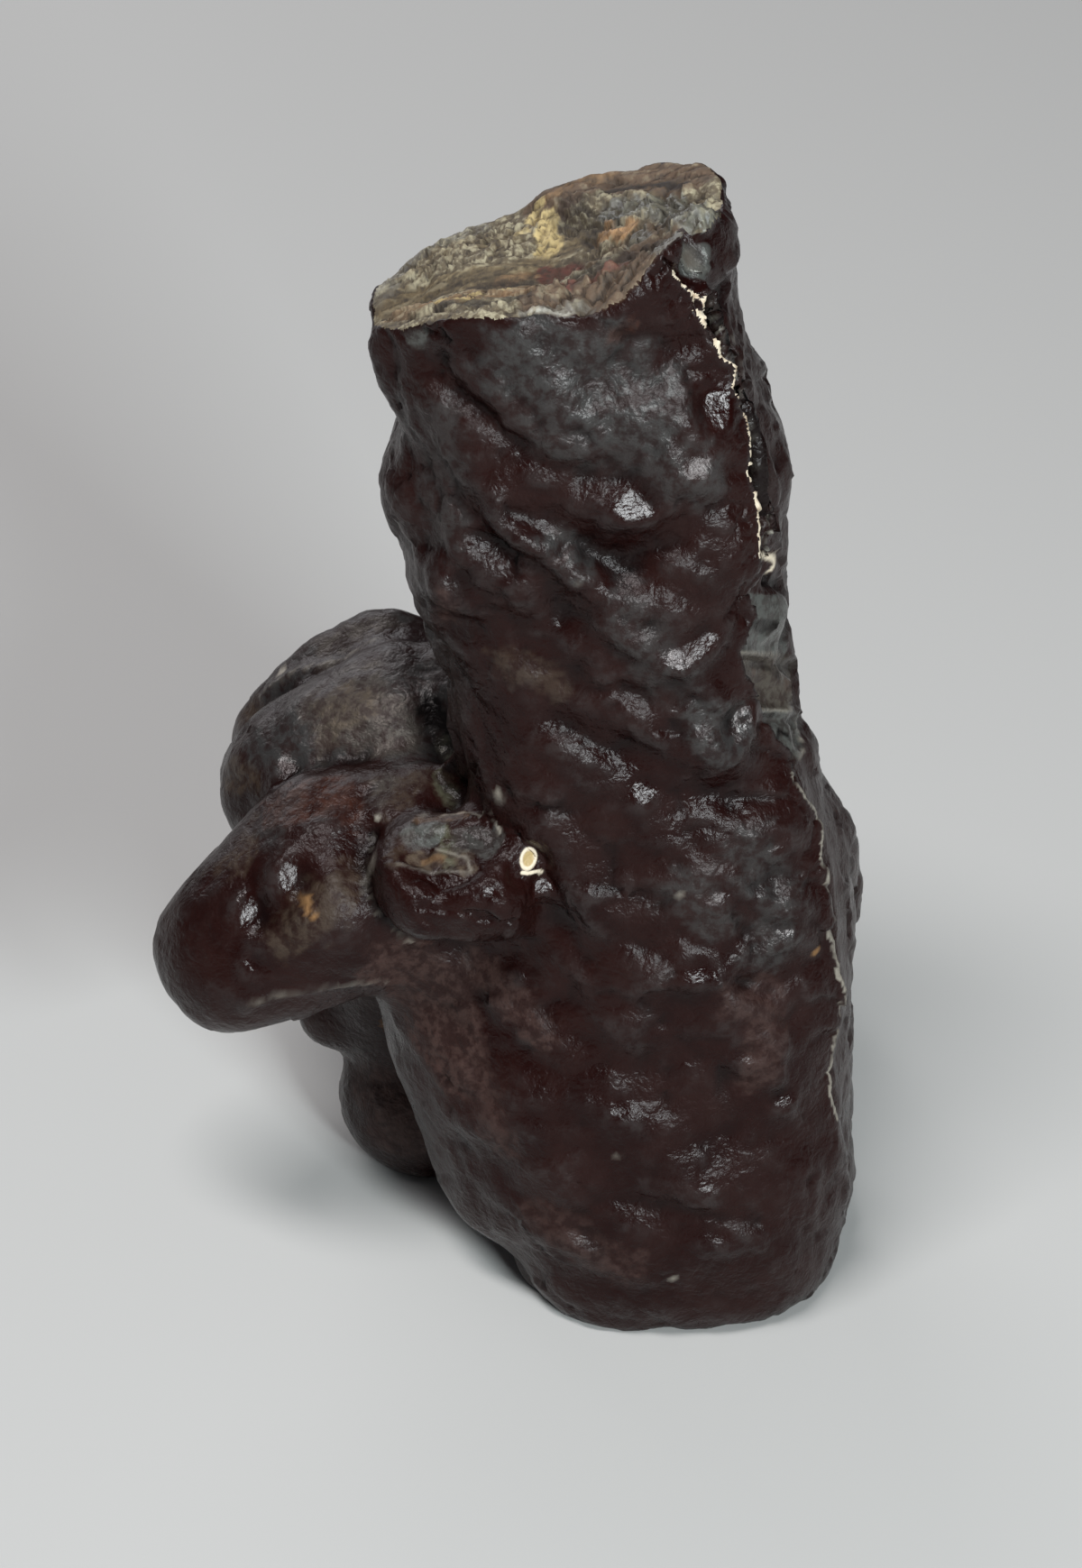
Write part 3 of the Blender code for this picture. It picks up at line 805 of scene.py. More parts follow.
    def height(self, places: np.ndarray) -> np.ndarray:
        """How far places lie above the break's plane."""
        level, across, back = self.plane
        return places[:, 2] - (level + across * places[:, 0] + back * places[:, 1])

    def facing(self) -> np.ndarray:
        """The way the break faces."""
        _, across, back = self.plane
        return unit((-across, -back, 1.0))

    def find(self, stone: StoneMesh) -> None:
        """Mark the vertices that lie on the break, from 0 outside it to 1 inside it.

        Args:
            stone: The stone's mesh.
        """
        way = Vector(self.facing())
        middle = fetch(stone.obj.data.polygons, "center", 3).astype(float)
        found = np.zeros(len(middle))
        near = (middle[:, 2] > self.lowest) & (np.abs(self.height(middle)) < self.depth)
        for index in np.flatnonzero(near):
            _, normal, _, _ = stone.model.find_nearest(Vector(middle[index]))
            found[index] = 1.0 if normal.dot(way) > self.least_facing else 0.0
        right, front, above = self.ledge_end
        found[(middle[:, 2] > above) & (middle[:, 0] > right) & (middle[:, 1] < front)] = 1.0
        for _ in range(self.cleanings):
            found = (stone.to_faces(stone.to_vertices(found)) > 0.5).astype(float)
        stone.marks["break"] = stone.to_vertices(found)

    def rim_distance(self, stone: StoneMesh) -> np.ndarray:
        """Measure to the break's rim.

        Args:
            stone: The stone's mesh.

        Returns:
            How far each vertex lies inside the rim, below 0 outside it.
        """
        share = stone.marks["break"] - 0.5
        start, end = stone.ends.T
        across = share[start] * share[end] < 0
        start, end = start[across], end[across]
        part = share[start] / (share[start] - share[end])
        rim = stone.at[start] + part[:, None] * (stone.at[end] - stone.at[start])
        tree = KDTree(len(rim))
        for index, spot in enumerate(rim):
            tree.insert(spot, index)
        tree.balance()
        distance = np.full(len(stone.at), FAR)
        for index in np.flatnonzero(stone.at[:, 2] > self.lowest - 4.0):
            distance[index] = tree.find(stone.at[index])[2]
        return np.where(share > 0, distance, -distance)

    def shape(self, stone: StoneMesh, rim: np.ndarray) -> None:
        """Split the break into its grains, splinters and blocks.

        Args:
            stone: The stone's mesh.
            rim: How far each vertex lies inside the break's rim.
        """
        inside = np.flatnonzero(rim > -self.margin)
        at = stone.at[inside]
        swing = np.stack([rough(at / self.swing_size, seed)
                          for seed in (Seed.SWING_ACROSS, Seed.SWING_BACK)], axis=1)
        total, relief, tone, gap = (np.zeros(len(inside)) for _ in range(4))
        for order, splits in enumerate(self.splits):
            distance, _ = path_offset(at[:, :2] + swing * self.part_swing, splits.path)
            beyond = np.maximum(distance - splits.half * self.part_core, 0.0)
            weight = 1.0 / (self.part_soft + beyond ** 3)
            laid = splits.lay(at[:, :2] + swing * self.piece_swing)
            for layer, (finer, strength, gap_share) in enumerate(self.layers):
                lead, pick, way = cells(laid * finer, Seed.PIECE * order + layer)
                height = splits.proud * (pick[:, 0] * 2.0 - 1.0)
                height += splits.tilt * leaning(pick[:, 1:3], way)
                crack = bell(lead, self.crack)
                relief += weight * strength * (height - splits.gap * crack)
                glow, place, width = self.arris
                arris = glow * bell(lead - place, width) * (pick[:, 1] > self.arris_least)
                tone += weight * ((pick[:, 2] if layer else pick[:, 0]) * 0.5 + arris)
                gap += weight * crack * gap_share
            total += weight
        hold = ease(rim[inside], -0.4, 0.4) * (0.4 + 0.6 * ease(rim[inside], 0.2, 1.5))
        height = np.zeros(len(stone.at))
        height[inside] = relief / total * hold
        height[inside] += self.grain_height * rough(at / self.grain, Seed.BREAK_GRAIN) * hold
        stone.push(height, self.facing())
        stone.marks["tone"] = np.full(len(stone.at), 0.5)
        # gap: how deep the cracks are, painted black later as their shade
        stone.marks["gap"] = np.zeros(len(stone.at))
        stone.marks["tone"][inside] = tone / total
        stone.marks["gap"][inside] = gap / total * hold

    def dress(self, stone: StoneMesh, rim: np.ndarray) -> None:
        """Lay the break's colours inside its rim."""
        stone.stain(self.tints, ease(rim, -0.2, 0.2))


@dataclass
class SplitFlank:
    """The split down the trunk's right flank: the front shell's cream edge and the flat scars behind it.

    The upper part of the split is a deep crack, and the lower part a shallow step.
    """

    path: Path = (
        (-7.5, 91.1), (-8.3, 86.1), (-7.7, 81.8), (-7.8, 76.3), (-8.0, 71.1), (-8.5, 68.6), (-7.6, 62.7),
        (-9.3, 59.5), (-10.1, 56.1), (-9.5, 52.5), (-8.2, 46.2), (-7.1, 43.1), (-6.2, 37.7), (-6.3, 31.1),
        (-7.3, 26.1), (-8.7, 21.1), (-9.1, 16.1), (-9.5, 10.1))
    edge: Path = (
        (-9.0, 91.5), (-8.7, 87.9), (-8.4, 86.6), (-8.2, 85.6), (-7.8, 84.7), (-7.9, 83.6), (-7.7, 83.0),
        (-7.6, 81.6), (-7.5, 80.0), (-7.0, 79.2), (-7.2, 78.7), (-7.6, 77.8), (-7.5, 76.0), (-7.2, 75.3),
        (-7.6, 74.2), (-8.1, 73.1), (-8.3, 71.5), (-8.4, 68.8), (-8.6, 68.0), (-9.0, 66.2), (-9.1, 65.3),
        (-8.9, 63.8), (-8.6, 62.0), (-8.7, 60.5), (-9.2, 59.2), (-9.6, 57.6),
        (-9.8, 56.1), (-9.3, 54.4), (-8.0, 51.8), (-8.2, 50.6), (-8.2, 49.5), (-7.4, 47.8), (-7.8, 46.6),
        (-8.2, 45.7), (-8.2, 44.2), (-7.6, 42.4), (-8.0, 40.9), (-8.8, 39.5), (-9.1, 36.8), (-9.4, 31.8),
        (-9.3, 27.6), (-10.0, 24.0), (-10.6, 19.3), (-10.6, 10.0))
    facing: Span = (0.1, 0.6)    # how squarely the flank faces right, and how far out and up it starts
    out: Span = (5.0, 8.0)
    ends: Span = (12.0, 26.0)
    step: float = 1.1            # the step behind the shell's edge, and how it fades further back
    step_width: float = 0.18
    step_fade: Span = (4.0, 12.0)
    step_top: Span = (83.6, 85.2)
    lower_step: float = 0.55     # how much of it the lower part loses
    groove: float = 1.0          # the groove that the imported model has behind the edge
    groove_width: float = 1.1
    lip: float = 0.3
    lip_width: float = 0.55
    lip_end: float = 0.08
    lower_lip: float = 0.6
    gap_depth: float = 0.9       # the crack, and where it lies behind the edge
    gap_place: float = 0.4
    gap_width: float = 0.32
    gap_top: Span = (83.4, 84.8)
    upper: Span = (61.2, 63.2)   # heights over which the upper and the lower part start
    lower: Span = (44.0, 47.0)
    edge_grain: float = 0.8
    edge_waver: float = 0.12
    crumb: float = 0.9           # the crumbs in the crack
    crumb_height: float = 0.75
    crumb_place: float = 1.3
    crumb_width: float = 0.6
    scars: tuple[Scar, ...] = (
        Scar((16.95, -6.1, 59.6), (0.80, -0.52, 0.30), 4.6),
        Scar((16.85, -6.5, 54.6), (0.84, -0.54, -0.06), 4.2),
        Scar((17.95, -6.1, 49.4), (0.80, -0.44, 0.40), 4.0),
        Scar((12.3, -6.3, 86.9), (0.36, -0.78, 0.51), 2.2))
    scar_top: float = 62.0       # the fourth scar, by the break, lies above it and keeps its rough face
    scar_sink: float = 0.15
    windows: tuple[Window, ...] = (
        Window(56.3, 51.3, 19.9, 1.0, 0.0, True),
        Window(51.3, 46.4, 20.3, 0.35, 0.8, True),
        Window(46.4, 42.2, 20.8, 0.85, 0.15, False))
    window_slope: float = 0.674
    window_back: float = 2.0
    window_soft: float = 0.1
    ledge_width: float = 0.13
    # painted shade in the step right behind the shell's edge
    line_ends: tuple[Span, Span] = ((46.0, 46.5), (60.9, 61.4))  # the dark line right behind the edge
    line_place: float = 0.08
    line_width: float = 0.13
    cream_width: float = 0.24    # the cream mineral along the edge, and the dull pale line below it
    cream_behind: float = 0.2
    cream_narrow: Span = (77.0, 84.0)
    cream_waver: float = 0.45
    cream_grain: float = 1.6
    cream_ends: Span = (65.2, 87.2)
    pale_top: float = 46.5
    pale_width: float = 0.3
    strokes: tuple[Stroke, ...] = strokes_on(
        Side.RIGHT,
        (((-7.5, 56.4), (-5.4, 54.9), (0.8, 50.8)), 0.3, 0.3),
        (((-7.5, 55.4), (-5.4, 53.9), (0.8, 49.9)), 0.4, -0.3),
        (((-7.5, 51.5), (-5.4, 50.1), (-0.7, 46.9)), 0.3, 0.3),
        (((-7.5, 50.6), (-5.4, 49.2), (-0.7, 46.1)), 0.4, -0.3),
        (SCAR_VEIN, 0.3, 0.3),
        (((-3.6, 59.9), (-1.2, 58)), 0.6, -0.8))
    tints: tuple[Tint, ...] = (
        # painted shade in the pit above the flat places, and dark lines and a dark blob on them
        *tints_on(Paint.DARK, Side.RIGHT,
            (((-3.4, 59.9), (-1.2, 58.1)), 0.45, 0.9),
            (((-7.6, 58.6), (-5.9, 57.6), (-4.4, 56.6)), 0.45, 0.75, 0.9),
            (((-7.2, 49.4), (-5.8, 47.6), (-4.9, 48), (-4.2, 46.2)), 0.18, 0.9, 0.35),
            (((-6.2, 50), (-4.8, 49.2)), 0.3, 0.5, 0.8),
            (((-5.6, 54.2), (-4, 53), (-3.2, 51.6)), 0.25, 0.5, 0.7)),
        *tints_on(Paint.RUST, Side.RIGHT,
            (((-5.4, 53.3),), 0.4, 0.8),
            (((-2.6, 50.6), (-2, 50)), 0.4, 0.8)),
        *tints_on(Paint.PALE, Side.RIGHT,
            (SCAR_VEIN, 0.1, 0.4, 0.8),
            (((-6.2, 87.4), (-6.4, 86.4)), 0.35, 0.16, 0.6)),
        *tints_on(Paint.CREAM, Side.RIGHT,
            (((-9.1, 65.3), (-4.9, 62.8), (-3.6, 61.9)), 0.15, 1, 0.4),
            (((-3.6, 61.9), (-2.6, 61), (-3, 60.6), (-3.7, 60.3)), 0.2, 1, 0.4)),
        *tints_on(Paint.GREY, Side.RIGHT, (CHIP_OUTLINE, 0.3, 0.8, 0.25)),
        *tints_on(Paint.HAZE, Side.RIGHT, (CHIP_OUTLINE, 0.3, 0.7, 0.25)),
    )

    def behind(self, stone: StoneMesh, path: Path) -> tuple[np.ndarray, np.ndarray]:
        """Measure from a path down the flank.

        Args:
            stone: The stone's mesh.
            path: The path, seen from the right.

        Returns:
            How far each vertex lies behind the path, and how much it belongs to the flank.
        """
        places, facing = stone.seen(Side.RIGHT)
        distance, side = path_offset(places, path)
        out, _, up = stone.at.T
        flank = ease(facing, *self.facing) * ease(up, *self.ends) * ease(out, *self.out)
        return distance * side, flank

    def heal(self, stone: StoneMesh) -> None:
        """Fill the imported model's coarse step, so that a crisp one can be cut.

        Args:
            stone: The stone's mesh.
        """
        behind, flank = self.behind(stone, self.path)
        height = self.step * ease(behind, -0.2, 0.5) * (1.0 - ease(behind, *self.step_fade))
        groove = self.groove * bell(behind - self.groove_width, self.groove_width)
        stone.push((height + groove * ease(behind, -0.5, 0.5)) * flank)

    def shape(self, stone: StoneMesh) -> np.ndarray:
        """Cut the crisp step, raise the shell's edge and lay crumbs in the crack.

        Args:
            stone: The stone's mesh.

        Returns:
            How far each vertex lies behind the split.
        """
        up = stone.at[:, 2]
        behind, flank = self.behind(stone, self.edge)
        behind = behind + self.edge_waver * rough(stone.at / self.edge_grain, Seed.SPLIT_EDGE)
        way = stone.blurred(stone.normal, 5)
        way /= lengths(way)[:, None]
        upper, lower = ease(up, *self.upper), 1.0 - ease(up, *self.lower)
        clear = fade(up, *self.gap_top)
        lip = self.lip * (1.0 - self.lower_lip * lower) * bell(np.minimum(behind, 0.0), self.lip_width)
        lip = lip * (behind < self.lip_end)
        gap = self.gap_depth * bell(behind - self.gap_place, self.gap_width) * (behind > 0.0)
        gap = gap * (0.1 + 0.9 * np.maximum(upper, 0.1 * lower)) * clear
        drop = self.step * ease(behind, 0.0, self.step_width) * (1.0 - ease(behind, *self.step_fade))
        drop = drop * (1.0 - self.lower_step * lower)
        drop = drop * (0.2 + 0.8 * np.maximum(fade(up, *self.step_top), 1.0 - upper))
        lead, pick, _ = cells(stone.at / self.crumb, Seed.CRUMB)
        crumbs = (0.25 + 0.75 * pick[:, 0]) * ease(lead, 0.05, 0.45)
        crumbs = self.crumb_height * crumbs * bell(behind - self.crumb_place, self.crumb_width)
        crumbs = crumbs * upper * clear
        stone.push((lip - drop - gap + crumbs) * flank, way)
        stone.relax(10, lower * flank * ease(behind, 0.3, 0.8) * fade(behind, 3.0, 5.0))
        stone.marks["crumb"] = crumbs / self.crumb_height * flank
        # the crack's depth, painted black later as its shade
        stone.marks["gap"] = np.maximum(stone.marks["gap"], gap / self.gap_depth * flank * 0.9)
        return behind

    def near_scars(self, stone: StoneMesh, reach: float) -> np.ndarray:
        """Find the scars' surroundings.

        Args:
            stone: The stone's mesh.
            reach: How far they go, in the scars' radii.

        Returns:
            How much each vertex belongs to them, above 0 within the reach.
        """
        share = np.zeros(len(stone.at))
        for scar in self.scars:
            apart = lengths(stone.at - np.array(scar.spot))
            share = np.maximum(share, fade(apart, scar.radius * reach * 0.6, scar.radius * reach))
        return share

    def scar(self, stone: StoneMesh) -> None:
        """Flatten the scars, smooth the three in the split and press their lines.

        Args:
            stone: The stone's mesh.
        """
        for scar in self.scars:
            aim = unit(scar.facing)
            apart = stone.at - np.array(scar.spot)
            behind, _ = self.behind(stone, self.edge)
            share = fade(lengths(apart), 0.6 * scar.radius, scar.radius)
            share = share * ease(stone.normal @ aim, 0.2, 0.6) * ease(behind, 0.1, 0.5)
            stone.at -= aim * ((apart @ aim + self.scar_sink) * share * 0.8)[:, None]
        behind, _ = self.behind(stone, self.edge)
        inside = self.near_scars(stone, 1.0) * ease(behind, 0.3, 0.8)
        stone.relax(14, inside * (stone.at[:, 2] < self.scar_top))
        height = np.zeros(len(stone.at))
        stone.press(self.strokes, height)
        stone.push(height)

    def dress(self, stone: StoneMesh, behind: np.ndarray) -> None:
        """Lay the colours of the three scars in the split and of the places round them, with painted shade
        in the step behind the shell's edge and in the pit, and painted sheen on the grey flat places.

        Args:
            stone: The stone's mesh.
            behind: How far each vertex lies behind the split.
        """
        out, back, up = stone.at.T
        soft = self.window_soft
        on_flank = self.behind(stone, self.edge)[1] > 0.02
        wander = 0.12 * rough(stone.at / 0.9, Seed.WINDOW)
        level = up + self.window_slope * back + wander
        shown = ease(behind, 0.1, 0.25) * fade(back, self.window_back - 0.2, self.window_back + 0.2)
        for window in self.windows:
            inside = shown * on_flank * fade(out + wander, window.out - soft, window.out + soft)
            inside = inside * ease(level, window.bottom - soft, window.bottom + soft)
            inside = inside * fade(level, window.top - soft, window.top + soft)
            stone.cover(Paint.GREY, inside * window.grey)
            stone.cover(Paint.TAN, inside * window.tan)
            stone.cover(Paint.GLOSS, inside * 0.8)
            # painted sheen on the grey flat places, with some metallic lustre
            stone.cover(Paint.HAZE, inside * 0.3 * window.grey)
            if window.ledge:
                ledge = bell(level - window.bottom, self.ledge_width) * shown * (out < window.out)
                stone.cover(Paint.PALE, ledge * 0.28 * on_flank)
        # painted shade in the step right behind the shell's edge
        start, end = self.line_ends
        line = bell(behind - self.line_place, self.line_width) * (ease(up, *start) * fade(up, *end))
        stone.cover(Paint.DARK, line * on_flank * 0.9)
        stone.stain(self.tints)

    def cream(self, stone: StoneMesh, behind: np.ndarray, rim: np.ndarray) -> np.ndarray:
        """Find the cream mineral along the shell's edge, and lay the pale line that goes on below it.

        Args:
            stone: The stone's mesh.
            behind: How far each vertex lies behind the split.
            rim: How far each vertex lies inside the break's rim.

        Returns:
            1 for each vertex in the cream mineral and 0 elsewhere.
        """
        up = stone.at[:, 2]
        bottom, top = self.cream_ends
        _, flank = self.behind(stone, self.edge)
        narrow = 0.5 + 0.5 * fade(up, *self.cream_narrow)
        wide = 1.0 + self.cream_waver * rough(stone.at / self.cream_grain, Seed.CREAM_EDGE)
        seam = (behind > -(self.cream_width * narrow * wide)) & (behind < self.cream_behind)
        seam = (seam & (flank > 0.25) & (up < top) & (rim < -0.1)).astype(float)
        pale = seam * (up < self.pale_top) * (behind > -self.pale_width)
        stone.cover(Paint.PALE, pale * 0.48 * ease(rough(stone.at, Seed.PALE_EDGE), -0.5, 0.2))
        return seam * (up > bottom)


@dataclass
class Skin:
    """The waxy skin: its creases, ridges and worn flats, its small lumps, its stains, and its grey-brown
    film with painted sheen and painted shade.
    """

    fold: float = 5.2
    fold_height: float = 0.40
    fold_slope: float = -35.0
    fold_stretch: float = 1.6
    lump: float = 2.4
    lump_height: float = 0.12
    facet: float = 3.1
    facet_height: float = 0.42
    facet_crease: float = 0.13
    chip: float = 1.5
    chip_height: float = 0.13
    chip_crease: float = 0.035
    chip_hard: float = 6.0       # how large the harder places are, in which the chips are crisp
    chip_rugged: Span = (48.0, 60.0)
    crinkle: float = 0.9
    crinkle_height: float = 0.05
    crinkle_patch: float = 7.0
    calm_foot: Span = (18.0, 34.0)   # heights and widths over which the relief gets lower
    calm_lobe: Span = (-8.5, -5.5)
    lobe_top: Span = (47.0, 50.0)
    calm_finger: Span = (-22.0, -17.0)
    strokes: tuple[Stroke, ...] = (
        *strokes_on(Side.FRONT,
            (((-3.5, 78), (-1.5, 77), (0.5, 75), (2, 73.8), (5, 73.3)), 0.9, -0.5),
            (((5, 67.5), (7.5, 65.5), (9, 66.5), (11.5, 67.5)), 0.9, -0.5),
            (((-2.5, 67.5), (0, 66), (2.5, 64), (3.5, 61.5)), 0.9, -0.5),
            (((0.5, 70), (2, 69.3), (4, 68.8)), 0.8, -0.35),
            (((9.5, 61.8), (11, 61)), 0.9, -0.4),
            (((10, 82), (12, 81.5)), 0.7, -0.35),
            (((-7, 83), (-6, 81), (-5, 80)), 0.7, -0.35),
            (((8, 56), (10, 54.5), (12, 52.5)), 0.9, -0.5),
            (((12.3, 52.3), (13.5, 50.8), (14.8, 49.8), (16, 49.6)), 0.5, 0.22),
            (((-5.2, 59), (-5.2, 64.5)), 0.8, 0.4),
            (((15, 32.5), (17, 34.2)), 0.5, 0.35),
            (((17, 31.7), (19.5, 30.5)), 0.7, -0.55),
            (((16, 31), (19.5, 31), (20.2, 28), (19.8, 22.5), (17, 23), (16, 28), (16, 31)), 0.35, 0.16),
            (((-19.6, 35.3), (-19, 36.2), (-17.5, 38), (-15.8, 39.2)), 0.7, 0.35),
            (((-18.2, 35), (-16.2, 36.9), (-14.4, 38.1)), 0.6, -0.4),
            (((-10.2, 40.3), (-10.8, 38), (-9.8, 36.3), (-8, 34.3)), 0.45, -0.4),
            (((-19.8, 28.6), (-17, 29.5), (-13, 29.9), (-9.5, 29.6), (-8, 28.8)), 0.4, 0.3),
            (((-23, 36.5), (-20.5, 38.5), (-17.5, 41), (-14, 42), (-11, 42.3)), 0.5, -0.35),
            (((-9.8, 29), (-9, 24), (-5, 20.5)), 0.5, 0.22),
            (((2.5, 79), (5, 81), (7.5, 80)), 0.4, 0.16),
            (((3, 81.5), (5.5, 80)), 0.35, -0.16)),
        *strokes_on(Side.ABOVE, (PLATE_RIDGE, 0.5, 0.3), level=PLATE_TOP),
    )
    pads: tuple[Pad, ...] = (
        *pads_on(Side.FRONT, KEY_FACING,
            ((12.7, 76.2), 2, 1), ((12.4, 73.6), 1.5, 0.7), ((8.6, 70.6), 1.9, 1), ((11.6, 58.9), 1.9, 0.8),
            ((13, 59.9), 1.8, 0.8), ((15.3, 51.8), 2.2, 0.6), ((11.3, 54.5), 1, 0.7),
            ((9.3, 47.5), 1.4, 0.7), ((15.4, 47), 0.8, 0.6), ((14.8, 39.2), 1.3, 0.5),
            ((18.8, 42), 1.1, 0.5), ((19.6, 35.3), 1, 0.6), ((19.5, 33), 0.9, 0.6), ((13.3, 33), 1.5, 0.9),
            ((16.8, 25.5), 1.4, 0.9), ((19.8, 21), 1.4, 0.7), ((14.3, 15), 0.9, 0.6), ((7.3, 21.8), 1, 0.5),
            ((4.6, 20), 0.8, 0.5), ((9.9, 16), 0.8, 0.4), ((22.5, 13), 0.9, 0.5), ((15.2, 10.2), 1.2, 0.5),
            ((5, 10), 1.5, 0.3), ((2.5, 39.3), 1.1, 0.9), ((4.2, 37), 1.2, 0.9)),
        *pads_on(Side.FRONT, FINGER_FACING,
            ((-19.2, 31.6), 1.2, 1), ((-19.5, 35.4), 2, 1), ((-16.7, 38.3), 2, 1)),
        *pads_on(Side.ABOVE, TOP_FACING,
            ((-17.2, 0.9), 1.8, 0.7), ((-7, 3), 1.5, 0.5)),
        *pads_on(Side.FRONT, TOP_FACING,
            ((3.6, 66.8), 1.2, 0.4), ((2, 79), 0.8, 0.4)),
        *pads_on(Side.FRONT, KEY_FACING, ((-1.7, 40.6), 0.6, 0.9)),
    )
    tints: tuple[Tint, ...] = (
        # grey-brown film, partly painted sheen on lumps that face the light
        *tints_on(Paint.HAZE, Side.FRONT,
            (((1, 82), (5, 80.5), (9, 77.5)), 3.2, 1, 0.8),
            (((3, 77), (9, 74.5), (12, 73)), 2.6, 0.6, 0.9),
            (((-5, 76), (-4.5, 68)), 1.8, 0.5, 0.9),
            (((3, 67.5), (4.5, 66)), 1.3, 0.8),
            (((13.5, 53.5), (15.5, 51.5)), 1.8, 0.9),
            (((8, 62.5), (11, 57)), 2, 0.5, 0.9),
            (((17, 42), (19, 38), (18.5, 34)), 1.8, 0.7, 0.9),
            (((12.5, 40), (14.5, 37)), 1.7, 0.6, 0.9),
            (((-20, 43), (-14, 45.5), (-8, 46.5)), 3.2, 1, 0.6)),
        *tints_on(Paint.TAN, Side.FRONT,
            (((-0.8, 57.5), (1.5, 57), (3.5, 55.5)), 1, 0.35, 1),
            (((-17, 46), (-12, 45), (-9, 43.5)), 2.2, 0.4, 0.9),
            (((-24.5, 36.2), (-22, 37.6), (-20, 38.8)), 1, 0.55, 0.9),
            (((-16.6, 34.2), (-14.5, 36.6), (-13, 37.8)), 1.5, 0.5, 0.9)),
        *tints_on(Paint.DUST, Side.FRONT,
            (((-5, 63), (-4.5, 60)), 0.8, 0.7),
            (((-8, 31), (-5.5, 27), (-4.5, 23)), 3),
            (((-3, 31), (0, 29), (2, 27)), 1.3, 0.9, 0.8),
            (((-3.5, 24), (-2, 21), (-1, 17)), 1.2, 0.7, 0.9),
            (((-10.5, 9), (-9.5, 6)), 2.6, 0.9, 0.6),
            (((2, 11.5), (6, 9), (8, 8)), 1.8, 0.6, 0.9),
            (((16.5, 30.5), (18.5, 29.5), (18.2, 24)), 1.6, 0.7, 0.7)),
        # grey film on the plate, partly painted sheen
        *tints_on(Paint.HAZE, Side.ABOVE,
            (((-16, 4), (-11, 3.5), (-7, 2)), 3.6, 0.9, 0.7),
            (((-12, 12.5), (-18, 13)), 1.2, 0.6, 0.9), level=PLATE_TOP),
        *tints_on(Paint.TAN, Side.ABOVE,
            (((-14, 3.5), (-12.5, 4), (-11, 3), (-13.8, 2)), 1.1, 0.9, 1), level=PLATE_TOP),
        *tints_on(Paint.PALE, Side.ABOVE,
            (((-18, 13.2),), 0.35, 0.7),
            (PLATE_RIDGE, 0.14, 0.2, 0.9), level=PLATE_TOP),
        *tints_on(Paint.OCHRE, Side.FRONT,
            (((-15.1, 37), (-14.7, 36.5)), 0.28, 0.8, 0.9),
            (((22.2, 32.2),), 0.3, 0.8),
            (((-10, 16.3),), 0.5, 0.5, 0.9)),
        *tints_on(Paint.RUST, Side.ABOVE, (((-19, -3.5), (-13, -4.5)), 2.2, 0.6, 0.9), level=PLATE_TOP),
        *tints_on(Paint.PALE, Side.FRONT,
            (((-10.2, 40.3), (-10.8, 38), (-9.8, 36.3), (-8, 34.3), (-7.3, 33.3)), 0.12, 0.35, 0.9),
            (((-19.8, 28.6), (-17, 29.5), (-13, 29.9), (-9.5, 29.6)), 0.14, 0.16, 0.9),
            (((-10, 41.4),), 0.2, 0.45),
            (((0, 55.2),), 0.14, 0.5),
            (((4.5, 64.8),), 0.14, 0.4),
            (((12, 39.5),), 0.14, 0.4),
            (((7.7, 17.8),), 0.14, 0.5),
            (((12, 6.7),), 0.18, 0.4)),
        *tints_on(Paint.RUST, Side.FRONT, (((7, 83.3), (8, 84)), 0.7, 0.6)),
        *tints_on(Paint.GREY, Side.FRONT, (((-6.6, 83.2), (-6.6, 82)), 0.75, 0.8)),
        # painted shade in the pit between the block, the finger and the trunk
        *tints_on(Paint.DARK, Side.FRONT, (((-6.2, 44.6), (-5.2, 44.2)), 1, 0.9)),
        *tints_on(Paint.OLIVE, Side.FRONT, (((-5.5, 42.8), (-4.7, 41.9)), 0.55, 1, 0.6)),
    )

    def calm(self, stone: StoneMesh) -> np.ndarray:
        """How high the relief stands at each vertex: lower on the foot, the lobes and the finger.

        Args:
            stone: The stone's mesh.

        Returns:
            1 for the full height, and less where the skin is calmer.
        """
        across, _, up = stone.at.T
        lobe = fade(across, *self.calm_lobe) * fade(up, *self.lobe_top)
        calm = 1.0 - 0.4 * fade(up, *self.calm_foot)
        return calm * (1.0 - 0.55 * lobe) * (1.0 - 0.4 * fade(across, *self.calm_finger))

    def shape(self, stone: StoneMesh, skin: np.ndarray) -> None:
        """Raise the lumps and press the creases.

        Args:
            stone: The stone's mesh.
            skin: How much each vertex belongs to the skin.
        """
        slope = math.radians(self.fold_slope)
        run = np.array((math.cos(slope), 0.0, math.sin(slope)))
        laid = stone.at - np.outer(stone.at @ run, run) * (1.0 - 1.0 / self.fold_stretch)
        calm = self.calm(stone)
        height = self.fold_height * lumps(laid / self.fold, Seed.FOLD) * calm
        height += self.lump_height * lumps(laid / self.lump, Seed.LUMP) * calm
        lean, crease = facets(laid / self.facet, Seed.FACET)
        height += (self.facet_height * lean - self.facet_crease * crease) * calm
        lean, crease = facets(laid / self.chip, Seed.CHIP)
        hard = 0.3 + 0.7 * ease(rough(stone.at / self.chip_hard, Seed.HARD_PLACES), -0.35, 0.35)
        rugged = 1.0 + 0.7 * ease(stone.at[:, 2], *self.chip_rugged)
        height += (self.chip_height * lean - self.chip_crease * crease) * calm * hard * rugged
        crinkled = 0.35 + 0.65 * ease(rough(stone.at / self.crinkle_patch, Seed.CRINKLED_PLACES), -0.2, 0.4)
        height += self.crinkle_height * rough(stone.at / self.crinkle, Seed.CRINKLE) * crinkled
        stone.press(self.strokes, height)
        stone.push(height * skin)
        for pad in self.pads:
            stone.pad(pad)
        stone.refresh()

    def dress(self, stone: StoneMesh, skin: np.ndarray) -> None:
        """Lay the stains, the dust, the grey-brown film with its painted sheen and the painted shade in the
        pit on the skin.
        """
        stone.stain(self.tints, skin)


